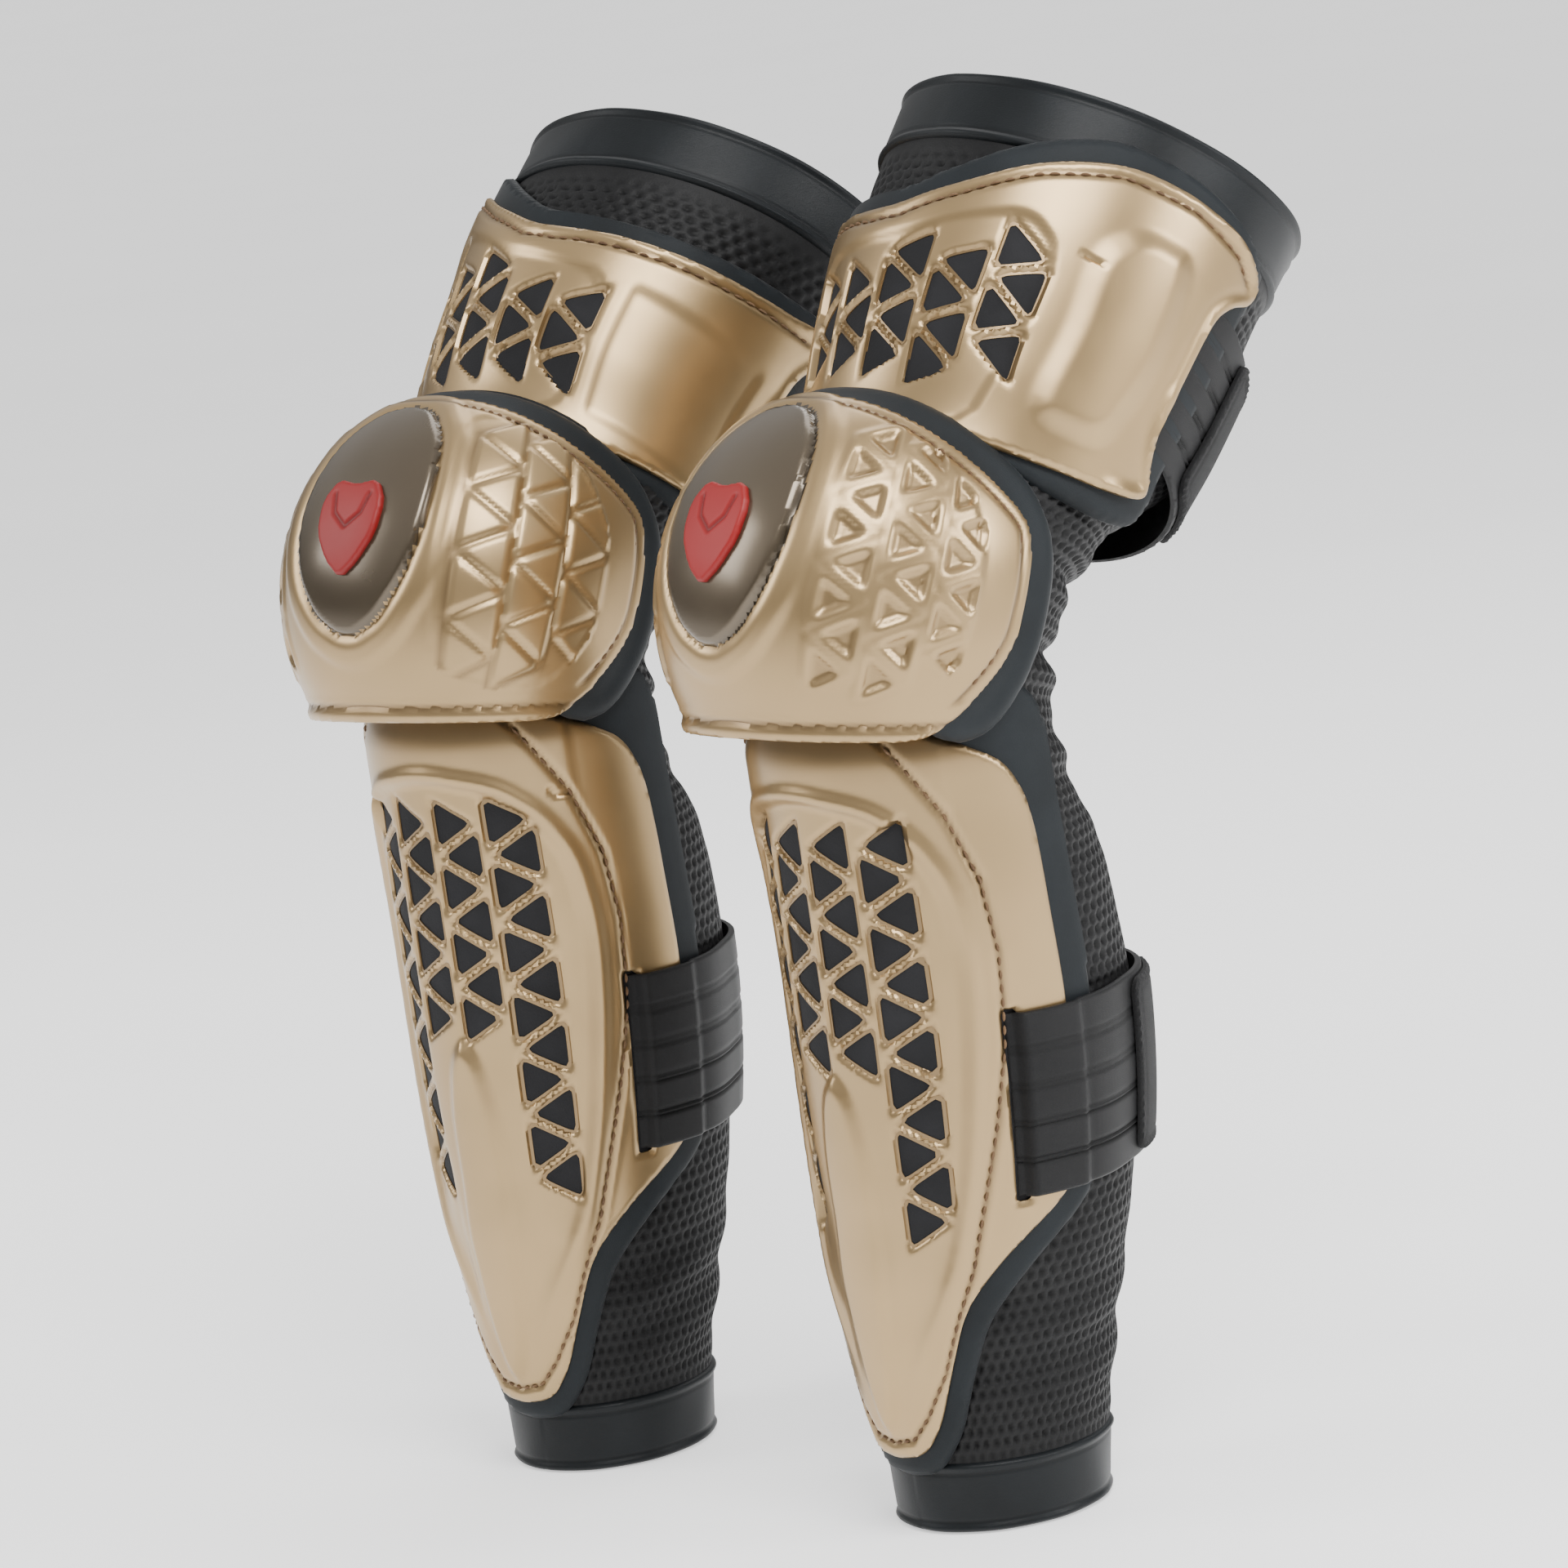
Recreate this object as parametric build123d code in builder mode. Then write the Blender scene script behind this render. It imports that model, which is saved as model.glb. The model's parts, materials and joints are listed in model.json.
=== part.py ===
"""A pair of off-road knee and shin guards, standing on their lower cuffs.

Each guard is a knitted sleeve with a shin plate, a knee cup and a thigh plate on neoprene and
foam, closed by two elastic straps. The left guard is modelled in its own frame: the origin is the
centre of its lower cuff, the front is -Y, the outer side is +X and +Z is up the shin. The knee and
the thigh have frames of their own at the knee axis. The right guard is the mirror image.
"""
from build123d import *
from math import cos, radians, sin, sqrt
import os

# ---- the pair -------------------------------------------------------------------------------
HALF_SPACING = 102.0            # each guard's origin from the middle of the pair
FORWARD = 47.5                  # puts the middle of the pair's outline over the origin
TOE_IN = 5.0                    # degrees that each guard's front turns to the other
BEND = {"left": 45.0, "right": 50.0}    # degrees between the shin and the thigh at rest
CUP_TILT = 25.0                 # degrees that the knee cup leans back from the shin
REACH = 140.0                   # half of any cutting prism, wider than the whole guard

# ---- the leg: height, centre x, centre y, half width, half depth of the sleeve's outside ------
KNEE_Y, KNEE_Z = -18.0, 334.0
SHIN = [(0, 0, -9, 36, 40), (25, 0, -8, 38, 42), (50, 0, -6, 41, 46), (100, 0, -1, 48, 55),
        (150, 0, 2, 53, 61), (190, 0, 2, 55, 62), (230, 0, -1, 55, 60), (265, 0, -3, 54, 59),
        (315, 0, -6, 54, 58)]
THIGH = [(25, 0, 20, 58, 65), (50, 0, 19, 60, 66), (80, -1, 12, 63, 69), (110, -3, 9, 68, 73),
         (140, -5, 6, 72, 75), (165, -7, 4.5, 74, 75.5), (225, -9, 4, 75.5, 76.5)]

# ---- layers, as offsets from the sleeve's outside ---------------------------------------------
SLEEVE = (-2.0, 0.0)
BAND = (-1.8, 0.2)
GRIP = (-2.5, -1.9)
PAD = (0.3, 2.3)
FOAM = (2.5, 4.5)
SHELL = (4.8, 7.8)
STRAP = (2.6, 4.6)
PATCH = (4.7, 5.3)
TAB = (5.7, 7.7)

# ---- cuffs and cuts ---------------------------------------------------------------------------
SHIN_BAND_TOP = 25.0
SHIN_GRIP_Z = (7.0, 18.0)
THIGH_BAND = 27.0               # width of the upper elastic band
THIGH_TOP = 192.0               # top of the thigh at the leg's middle
THIGH_GRIP_BELOW_TOP = (20.0, 8.0)
TOP_SLOPE = 9.5                 # degrees that the top opening drops towards the front
KNEE_CUT = 57.0                 # the stiff sleeves end this far from the knee axis
CUT_TILT = 30.0                 # degrees that those ends slope towards the back of the knee
SEAM_GAP = 0.6

# ---- knee cup, in the knee frame: a superellipse turned about the knee axis --------------------
CUP_HALF_WIDTH, CUP_RADIUS, CUP_POWER = 70.0, 80.0, 2.3
CUP_WALL = 3.0
PROFILE_STEPS = 12
POLE_DISC = 5.0                 # radius of the flat at each side of the cup's shape

# ---- calf strap ring and slots ----------------------------------------------------------------
CALF_STRAP_A, CALF_STRAP_B, CALF_STRAP_Y = 64.3, 64.5, 2.5
CALF_STRAP_Z = (124.0, 191.0)
CALF_STRAP_FRONT = -14.0        # the strap leaves its slots at this y
STRAP_WALL = 2.2
SLOT_WIDTH, SLOT_EXTRA = 6.0, 1.0
STRAP_END_X, STRAP_END_Y, STRAP_END_LENGTH = 60.2, -17.8, 6.4

# ---- vents ------------------------------------------------------------------------------------
VENT_PITCH = 25.0               # edge of the triangular lattice
VENT_SIZE = 8.2                 # corner radius of one triangular vent
VENT_DEPTH = 14.0

# ---- badge, tabs and the thigh strap -----------------------------------------------------------
BADGE_HALF_WIDTH, BADGE_HALF_HEIGHT, BADGE_Z = 14.0, 18.0, 6.0
BADGE_SHOULDERS = (-6.0, 8.0)   # heights of the badge's widest points
CALF_TAB_Y = (30.0, 61.0)       # the calf tab's root and the end of its loop patch
CALF_TAB_LIP, CALF_PATCH_INSET, CALF_PATCH_WALL = 3.0, 3.0, 0.6
THIGH_STRAP_FRONT, THIGH_STRAP_WIDTH = 19.0, 58.0
THIGH_STRAP_LOW = (63.0, 89.0)  # its lower edge at the inner and the outer end of its block
THIGH_STRAP_REACH = 100.0
THIGH_TAB_Y = (48.0, 79.0)
THIGH_PATCH_Y = (51.0, 77.0)
LIMB_TOP = 400.0                # above every leg shape
THIGH_FOAM_BACK = 15.0
PAD_BORDER, FOAM_MARGIN = 8.0, -9.0

limb_cache = {}


def limb(stations, offset):
    """A solid leg shape: ellipses one above another, all grown by one offset."""
    key = (id(stations), offset)
    if key not in limb_cache:
        with BuildPart() as solid:
            for height, centre_x, centre_y, half_width, half_depth in stations:
                with BuildSketch(Plane.XY.offset(height)):
                    with Locations((centre_x, centre_y)):
                        Ellipse(half_width + offset, half_depth + offset)
            loft()
        limb_cache[key] = solid.part
    return limb_cache[key]


def side_prism(points, corner=0.0, start=-REACH, end=REACH):
    """A prism along X whose side view, y against z, is the given outline."""
    with BuildPart() as prism:
        with BuildSketch(Plane.YZ.offset(start)) as outline:
            with BuildLine():
                Polyline(*points, close=True)
            make_face()
            if corner:
                fillet(outline.vertices(), corner)
        extrude(amount=end - start)
    return prism.part


def half_space(height, tilt, above):
    """A block above or below a plane that crosses z = height at y = 0 and tilts about X."""
    with BuildPart() as block:
        normal = (0, sin(radians(tilt)), cos(radians(tilt)))
        with BuildSketch(Plane((0, 0, height), x_dir=(1, 0, 0), z_dir=normal)):
            Rectangle(4 * REACH, 4 * REACH)
        extrude(amount=4 * REACH if above else -4 * REACH)
    return block.part


def layer(stations, offsets, *keeps):
    """The wall between two offsets of a leg, kept inside every given block."""
    with BuildPart() as wall:
        add(limb(stations, offsets[1]))
        add(limb(stations, offsets[0]), mode=Mode.SUBTRACT)
        for keep in keeps:
            add(keep, mode=Mode.INTERSECT)
    return wall.part


def cup_body(inset):
    """The knee cup's solid shape about the knee axis, shrunk by an inset."""
    half_width = CUP_HALF_WIDTH - inset
    radius = CUP_RADIUS - inset
    points = [(-half_width, POLE_DISC)]
    for step in range(1, PROFILE_STEPS):
        angle = radians(180.0 * step / PROFILE_STEPS)
        side = -1.0 if cos(angle) > 0 else 1.0
        along = side * half_width * abs(cos(angle)) ** (2 / CUP_POWER)
        points.append((along, radius * abs(sin(angle)) ** (2 / CUP_POWER)))
    points.append((half_width, POLE_DISC))
    with BuildPart() as body:
        with BuildSketch(Plane.XY):
            with BuildLine():
                Spline(*points, tangents=((0, 1), (0, -1)))
                Polyline(points[-1], (half_width, 0), (-half_width, 0), points[0])
            make_face()
        revolve(axis=Axis.X)
    return body.part


def cup_layer(insets, *keeps):
    """The wall between two insets of the cup's shape, kept inside every given block."""
    with BuildPart() as wall:
        add(cup_body(insets[1]))
        add(cup_body(insets[0]), mode=Mode.SUBTRACT)
        for keep in keeps:
            add(keep, mode=Mode.INTERSECT)
    return wall.part


def surface_plane(stations, height, angle):
    """The plane that touches a leg at a height and an angle from its front."""
    lower = max(row for row in stations if row[0] <= height)
    upper = min(row for row in stations if row[0] > height)
    share = (height - lower[0]) / (upper[0] - lower[0])
    centre_x, centre_y, half_width, half_depth = (
        low + share * (high - low) for low, high in zip(lower[1:], upper[1:]))
    point = (centre_x + half_width * sin(angle), centre_y - half_depth * cos(angle), height)
    normal = (sin(angle) / half_width, -cos(angle) / half_depth, 0)
    return Plane(point, x_dir=(0, 0, 1), z_dir=normal)


def vents(stations, cells):
    """Radial triangular prisms, one for each (height, angle, turn) cell."""
    with BuildPart() as prisms:
        for height, angle, turn in cells:
            with BuildSketch(surface_plane(stations, height, angle)):
                RegularPolygon(VENT_SIZE, 3, rotation=turn)
            extrude(amount=VENT_DEPTH)
    return prisms.part


def lattice_cells(columns, heights, radius, allowed):
    """Cells of a triangular lattice with upright ribs, where each second vent is turned over."""
    cells = []
    for column in range(-columns, columns + 1):
        across = column * VENT_PITCH * sqrt(3) / 2
        for row in range(int((heights[1] - heights[0]) / (VENT_PITCH / 2)) + 1):
            height = heights[0] + row * VENT_PITCH / 2
            if allowed(across, height):
                turn = 90.0 if (row + column) % 2 else -90.0
                cells.append((height, across / radius, turn))
    return cells


# ==== shin: the body that stands on the cuff =====================================================
below_knee = half_space(0.0, CUT_TILT, above=False).moved(
    Location((0, KNEE_Y - KNEE_CUT * sin(radians(CUT_TILT)), KNEE_Z - KNEE_CUT * cos(radians(CUT_TILT)))))
shin_plate_outline = [(-95, 31), (-57, 31), (-53, 44), (-50, 62), (-46, 88), (-8, 124), (-5, 180),
                      (-8, 256), (-20, 277), (-46, 300), (-95, 306)]
shin_foam_outline = [(-95, 40), (-58, 41), (-54, 62), (-50, 92), (-15, 128), (-13, 180),
                     (-16, 250), (-27, 270), (-50, 290), (-95, 296)]
shin_pad_outline = [(-95, 25), (-53, 25), (-44, 39), (-41, 60), (-37, 82), (3, 114), (8, 180),
                    (4, 262), (-8, 287), (-40, 306), (-95, 310)]
band_block = side_prism([(-REACH, 0), (REACH, 0), (REACH, SHIN_BAND_TOP), (-REACH, SHIN_BAND_TOP)])
grip_block = side_prism([(-REACH, SHIN_GRIP_Z[0]), (REACH, SHIN_GRIP_Z[0]),
                         (REACH, SHIN_GRIP_Z[1]), (-REACH, SHIN_GRIP_Z[1])])
above_band = half_space(SHIN_BAND_TOP + 0.1, 0.0, above=True)

shin_pieces = {}
shin_pieces["shin_cuff_band"] = layer(SHIN, BAND, band_block)
shin_pieces["shin_cuff_grip"] = layer(SHIN, GRIP, grip_block)
shin_pieces["shin_sleeve"] = layer(SHIN, SLEEVE, above_band, below_knee)
shin_pieces["shin_pad"] = layer(SHIN, PAD, side_prism(shin_pad_outline, 6.0), below_knee)
shin_pieces["shin_foam"] = layer(SHIN, FOAM, side_prism(shin_foam_outline), below_knee)


def shin_vent_allowed(across, height):
    """Vents fill an arch above the plain keel of the shin plate."""
    arch_top = 262 - (across / 30.0) ** 4 * 4
    keel = abs(across) < 15 and height < 172
    low_side = abs(across) > 36 and height < 128
    return 104 <= height <= arch_top and not keel and not low_side


slot_height = CALF_STRAP_Z[1] - CALF_STRAP_Z[0] + 2 * SLOT_EXTRA
strap_middle_z = (CALF_STRAP_Z[0] + CALF_STRAP_Z[1]) / 2
with BuildPart() as shin_shell:
    add(layer(SHIN, SHELL, side_prism(shin_plate_outline, 3.0), below_knee))
    add(vents(SHIN, lattice_cells(2, (104.0, 262.0), 62.0, shin_vent_allowed)), mode=Mode.SUBTRACT)
    with BuildSketch(Plane.YZ.offset(-REACH)):
        with Locations((CALF_STRAP_FRONT - SLOT_WIDTH / 2, strap_middle_z)):
            RectangleRounded(SLOT_WIDTH, slot_height, SLOT_WIDTH / 2 - 0.1)
    extrude(amount=2 * REACH, mode=Mode.SUBTRACT)
shin_pieces["shin_shell"] = shin_shell.part


def calf_ring(start, wall, front, back=REACH, side=0):
    """A sector of the calf strap's ring, between two y values and on one side or both."""
    with BuildPart() as ring:
        with BuildSketch(Plane.XY.offset(CALF_STRAP_Z[0])):
            with Locations((0, CALF_STRAP_Y)):
                Ellipse(CALF_STRAP_A + start + wall, CALF_STRAP_B + start + wall)
                Ellipse(CALF_STRAP_A + start, CALF_STRAP_B + start, mode=Mode.SUBTRACT)
        extrude(amount=CALF_STRAP_Z[1] - CALF_STRAP_Z[0])
        low_x, high_x = (-REACH if side < 0 or side == 0 else 0.0), (REACH if side >= 0 else 0.0)
        add(side_prism([(front, 0), (back, 0), (back, LIMB_TOP), (front, LIMB_TOP)], 0, low_x, high_x),
            mode=Mode.INTERSECT)
    return ring.part


with BuildPart() as calf_strap:
    add(calf_ring(0.0, STRAP_WALL, CALF_STRAP_FRONT - SLOT_WIDTH + 1.0))
    with BuildSketch(Plane.XY.offset(CALF_STRAP_Z[0])):
        with Locations((STRAP_END_X, STRAP_END_Y), (-STRAP_END_X, STRAP_END_Y)):
            Rectangle(STRAP_END_LENGTH, STRAP_WALL)
    extrude(amount=CALF_STRAP_Z[1] - CALF_STRAP_Z[0])
    add(limb(SHIN, FOAM[1] + 0.2), mode=Mode.SUBTRACT)
shin_pieces["calf_strap"] = calf_strap.part

shin_pieces["calf_strap_loop_patch"] = calf_ring(
    STRAP_WALL + 0.1, CALF_PATCH_WALL, CALF_TAB_Y[0] + CALF_PATCH_INSET, CALF_TAB_Y[1], side=1)
calf_tab = calf_ring(STRAP_WALL + 1.0, STRAP_WALL, CALF_TAB_Y[0], CALF_TAB_Y[1] + CALF_TAB_LIP, side=1)


def knee_tube(bend, shrink):
    """The leg's solid shape over the knee, from the shin's cut, round the bend, to the thigh's cut."""
    cut = KNEE_CUT - SEAM_GAP
    shin_normal = radians(CUT_TILT)
    thigh_normal = radians(bend - CUT_TILT)
    middle_normal = (shin_normal + thigh_normal) / 2
    sections = [(shin_normal, -cut, 50.6, 53.5, 67.0), (middle_normal, 0.0, 9.5, 55.0, 65.5),
                (thigh_normal, cut, 53.5, 60.5, 73.0)]
    with BuildPart() as tube:
        for normal, along, across, half_width, half_depth in sections:
            origin = (0, along * sin(normal) + across * cos(normal),
                      along * cos(normal) - across * sin(normal))
            with BuildSketch(Plane(origin, x_dir=(1, 0, 0), z_dir=(0, sin(normal), cos(normal)))):
                Ellipse(half_width - shrink, half_depth - shrink)
        loft()
    return tube.part


def knee_sleeve(bend):
    """The soft sleeve over the knee."""
    with BuildPart() as sleeve:
        add(knee_tube(bend, 0.0))
        add(knee_tube(bend, -SLEEVE[0]), mode=Mode.SUBTRACT)
    return sleeve.part


def leg_in_cup(bend):
    """What a leg fills in the knee frame: the knee, and the thigh with its plate."""
    with BuildPart() as thigh_end:
        add(limb(THIGH, SHELL[1] + 0.5))
        add(side_prism([(-REACH, 40), (24, 40), (REACH, 92), (REACH, LIMB_TOP), (-REACH, LIMB_TOP)]),
            mode=Mode.INTERSECT)
    with BuildPart() as filled:
        add(Location((0, 0, 0), (CUP_TILT, 0, 0)) * knee_tube(bend, -0.4))
        add(Location((0, 0, 0), (CUP_TILT - bend, 0, 0)) * thigh_end.part)
    return filled.part


# ==== knee cup, in the knee frame ================================================================
cup_outline = [(-95, -73), (-12, -50), (6, -15), (6, 30), (0, 36), (-48, 64), (-95, 91)]
pad_outline = [(-95, 16), (-28, 16), (-14, -40), (8, -40), (14, -12), (14, 28), (4, 41),
               (-44, 69), (-95, 98)]
binding_outline = [(-95, 98.4), (-44, 69.4), (-16, 53.2), (-14, 56), (-42, 72.4), (-95, 101.4)]
protector_outline = [(-95, -12), (-27, -6), (-27, 10), (-55, 15), (-95, 24)]

cup_pieces = {}
cup_pieces["knee_cup_shell"] = cup_layer((CUP_WALL, 0.0), side_prism(cup_outline, 4.0))
cup_pieces["knee_protector_foam"] = cup_layer((18.0, 13.0), side_prism(protector_outline))
with BuildPart() as badge_prism:
    with BuildSketch(Plane.XZ):
        with BuildLine():
            Polyline((0, BADGE_Z - BADGE_HALF_HEIGHT), (BADGE_HALF_WIDTH, BADGE_Z + BADGE_SHOULDERS[0]),
                     (BADGE_HALF_WIDTH, BADGE_Z + BADGE_SHOULDERS[1]), (0, BADGE_Z + BADGE_HALF_HEIGHT),
                     (-BADGE_HALF_WIDTH, BADGE_Z + BADGE_SHOULDERS[1]),
                     (-BADGE_HALF_WIDTH, BADGE_Z + BADGE_SHOULDERS[0]), close=True)
        make_face()
    extrude(amount=REACH)
cup_pieces["knee_cup_badge"] = cup_layer((-0.1, -1.6), badge_prism.part)

knee_soft_pieces = {}
knee_soft_pieces["knee_pad"] = cup_layer((6.5, 3.5), side_prism(pad_outline, 5.0))
knee_soft_pieces["knee_pad_binding"] = cup_layer((6.8, 3.3), side_prism(binding_outline))
for name in ("knee_pad", "knee_pad_binding"):
    with BuildPart() as cleared:
        add(knee_soft_pieces[name])
        for bend in BEND.values():
            add(leg_in_cup(bend), mode=Mode.SUBTRACT)
    knee_soft_pieces[name] = cleared.part

# ==== thigh, in the thigh frame: origin on the knee axis, +Z along the thigh =======================
above_knee = half_space(0.0, -CUT_TILT, above=True).moved(
    Location((0, -KNEE_CUT * sin(radians(CUT_TILT)), KNEE_CUT * cos(radians(CUT_TILT)))))
under_top = half_space(THIGH_TOP, -TOP_SLOPE, above=False)
under_band = half_space(THIGH_TOP - THIGH_BAND - 0.1, -TOP_SLOPE, above=False)
over_band = half_space(THIGH_TOP - THIGH_BAND, -TOP_SLOPE, above=True)
grip_low = half_space(THIGH_TOP - THIGH_GRIP_BELOW_TOP[0], -TOP_SLOPE, above=True)
grip_high = half_space(THIGH_TOP - THIGH_GRIP_BELOW_TOP[1], -TOP_SLOPE, above=False)

outer_outline = [(-95, 41), (-40, 49), (31, 63), (38, 70), (21, 84), (17, 92), (17, 134), (22, 143),
                 (38, 151), (38, 160), (14, 165), (-10, 166), (-34, 161), (-54, 147), (-66, 130),
                 (-73, 120), (-95, 116)]
inner_outline = [(-95, 41), (-40, 49), (20, 55), (26, 62), (18, 70), (14, 78), (14, 116), (18, 124),
                 (27, 131), (26, 138), (0, 136), (-24, 132), (-50, 127), (-73, 120), (-95, 116)]


def grown(outline, step):
    """An outline moved outwards from its middle by about one step on every side."""
    centre_y = sum(point[0] for point in outline) / len(outline)
    centre_z = sum(point[1] for point in outline) / len(outline)
    moved = []
    for y, z in outline:
        length = sqrt((y - centre_y) ** 2 + (z - centre_z) ** 2)
        moved.append((y + step * (y - centre_y) / length, z + step * (z - centre_z) / length))
    return moved


def thigh_plate(step):
    """The side view of the thigh plate, higher on the outer side than on the inner side."""
    with BuildPart() as plate:
        add(side_prism(grown(outer_outline, step), 0, 0, REACH))
        add(side_prism(grown(inner_outline, step), 0, -REACH, 0))
    return plate.part


def slice_block(front, back):
    """A block on the outer side, between two y values."""
    return side_prism([(front, 0), (back, 0), (back, LIMB_TOP), (front, LIMB_TOP)], 0, 0, REACH)


inner_low, outer_low = THIGH_STRAP_LOW
with BuildPart() as strap_block:
    with BuildSketch(Plane.XZ.offset(-THIGH_STRAP_FRONT)):
        with BuildLine():
            Polyline((-THIGH_STRAP_REACH, inner_low), (THIGH_STRAP_REACH, outer_low),
                     (THIGH_STRAP_REACH, outer_low + THIGH_STRAP_WIDTH),
                     (-THIGH_STRAP_REACH, inner_low + THIGH_STRAP_WIDTH), close=True)
        make_face()
    extrude(amount=-REACH)
front_block = side_prism([(-REACH, 0), (THIGH_FOAM_BACK, 0), (THIGH_FOAM_BACK, LIMB_TOP),
                          (-REACH, LIMB_TOP)])


def thigh_vent_allowed(across, height):
    """Vents fill a window at the front of the thigh plate."""
    return abs(across) < 46 and height < 118 - abs(across) / 4


thigh_pieces = {}
thigh_pieces["thigh_sleeve"] = layer(THIGH, SLEEVE, above_knee, under_band)
thigh_pieces["thigh_cuff_band"] = layer(THIGH, BAND, over_band, under_top)
thigh_pieces["thigh_cuff_grip"] = layer(THIGH, GRIP, grip_low, grip_high)
thigh_pieces["thigh_pad"] = layer(THIGH, PAD, thigh_plate(PAD_BORDER), above_knee)
thigh_pieces["thigh_foam"] = layer(THIGH, FOAM, thigh_plate(FOAM_MARGIN), above_knee, front_block)
with BuildPart() as thigh_shell:
    add(layer(THIGH, SHELL, thigh_plate(0.0), above_knee))
    add(vents(THIGH, lattice_cells(2, (62.5, 118.0), 66.0, thigh_vent_allowed)), mode=Mode.SUBTRACT)
thigh_pieces["thigh_shell"] = thigh_shell.part
thigh_pieces["thigh_strap"] = layer(THIGH, STRAP, strap_block.part)
thigh_pieces["thigh_strap_loop_patch"] = layer(THIGH, PATCH, strap_block.part, slice_block(*THIGH_PATCH_Y))
thigh_tab = layer(THIGH, TAB, strap_block.part, slice_block(*THIGH_TAB_Y))


def place(piece, side, tilt, name):
    """Turn a piece into its guard's frame, mirror the right one, stand it and write it."""
    knee = Location((0, KNEE_Y, KNEE_Z)) if tilt is not None else Location()
    lean = Location((0, 0, 0), (-(tilt or 0.0), 0, 0))
    standing = (knee * lean) * piece
    if side == "right":
        standing = mirror(standing, about=Plane.YZ, mode=Mode.PRIVATE)
    sign = 1 if side == "left" else -1
    with BuildPart() as final:
        add(Location((sign * HALF_SPACING, -FORWARD, 0), (0, 0, -sign * TOE_IN)) * standing)
    final.part.label = name
    export_step(final.part, f"parts/{name}.step")


os.makedirs("parts", exist_ok=True)
for guard_side in ("left", "right"):
    for piece_name, shape in shin_pieces.items():
        place(shape, guard_side, None, f"{guard_side}_{piece_name}")
    place(calf_tab, guard_side, None, f"{guard_side}_calf_strap_tab")
    for piece_name, shape in {**cup_pieces, **knee_soft_pieces}.items():
        place(shape, guard_side, CUP_TILT, f"{guard_side}_{piece_name}")
    place(knee_sleeve(BEND[guard_side]), guard_side, 0.0, f"{guard_side}_knee_sleeve")
    for piece_name, shape in thigh_pieces.items():
        place(shape, guard_side, BEND[guard_side], f"{guard_side}_{piece_name}")
    place(thigh_tab, guard_side, BEND[guard_side], f"{guard_side}_thigh_strap_tab")
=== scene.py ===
"""The looks of the pair of knee and shin guards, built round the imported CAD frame.

Lengths are millimetres in each guard's own frame, as in the CAD: origin at the ankle cuff's centre,
-Y front, +Z up, outer side +X. place() turns them into metres in the row frame.
"""
import json
import math
import bpy
import numpy as np
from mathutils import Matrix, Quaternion, Vector

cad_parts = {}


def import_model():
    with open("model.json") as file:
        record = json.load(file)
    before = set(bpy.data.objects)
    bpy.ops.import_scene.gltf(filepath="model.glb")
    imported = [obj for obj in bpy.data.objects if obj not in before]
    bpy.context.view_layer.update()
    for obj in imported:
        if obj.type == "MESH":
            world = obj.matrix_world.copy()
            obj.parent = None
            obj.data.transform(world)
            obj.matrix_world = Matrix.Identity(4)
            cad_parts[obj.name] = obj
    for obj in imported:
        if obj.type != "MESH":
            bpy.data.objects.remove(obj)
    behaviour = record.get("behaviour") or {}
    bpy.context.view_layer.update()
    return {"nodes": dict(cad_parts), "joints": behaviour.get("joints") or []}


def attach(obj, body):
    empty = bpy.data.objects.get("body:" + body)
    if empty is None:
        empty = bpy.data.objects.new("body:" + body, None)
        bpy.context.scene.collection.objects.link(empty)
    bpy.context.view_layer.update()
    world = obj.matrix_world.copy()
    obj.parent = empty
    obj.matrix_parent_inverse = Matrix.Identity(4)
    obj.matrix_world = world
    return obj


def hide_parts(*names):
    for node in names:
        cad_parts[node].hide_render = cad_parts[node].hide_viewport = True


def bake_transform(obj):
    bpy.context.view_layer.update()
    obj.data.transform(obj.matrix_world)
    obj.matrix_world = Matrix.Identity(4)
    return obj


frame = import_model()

# ==== the leg and the cup, as in the CAD ====
KNEE_Y, KNEE_Z = -18.0, 334.0
MOST_BEND = 100.0
CUP_TILT = math.radians(25.0)
SHIN = np.array([(0, 0, -9, 36, 40), (25, 0, -8, 38, 42), (50, 0, -6, 41, 46), (100, 0, -1, 48, 55),
                 (150, 0, 2, 53, 61), (190, 0, 2, 55, 62), (230, 0, -1, 55, 60), (265, 0, -3, 54, 59),
                 (315, 0, -6, 54, 58)], float)
THIGH = np.array([(25, 0, 20, 58, 65), (50, 0, 19, 60, 66), (80, -1, 12, 63, 69), (110, -3, 9, 68, 73),
                  (140, -5, 6, 72, 75), (165, -7, 4.5, 74, 75.5), (225, -9, 4, 75.5, 76.5)], float)
SHIN_ARC, THIGH_ARC = 60.0, 70.0        # radius that turns an angle round the leg into an arc length
CUP_HALF_WIDTH, CUP_RADIUS, CUP_POWER = 70.0, 80.0, 2.3
CUP_ARC = 78.0
KNEE_REACH = 94.0                       # the sleeve bends between this far below and above the knee
KNEE_FRONT, KNEE_BACK = 55.0, 66.0
THIGH_TOP, TOP_SLOPE = 192.0, math.tan(math.radians(9.5))
THIGH_BAND, ANKLE_BAND = 27.0, 26.0
SHELL_OUT, SHELL_IN = 7.8, 4.9          # a plate's two faces, out from the leg
SEAM_THREAD = 0.9                       # how deep the stitches lie in a plate
OUTSIDE = 1e3
FULL_TURN = 2 * math.pi


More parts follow.
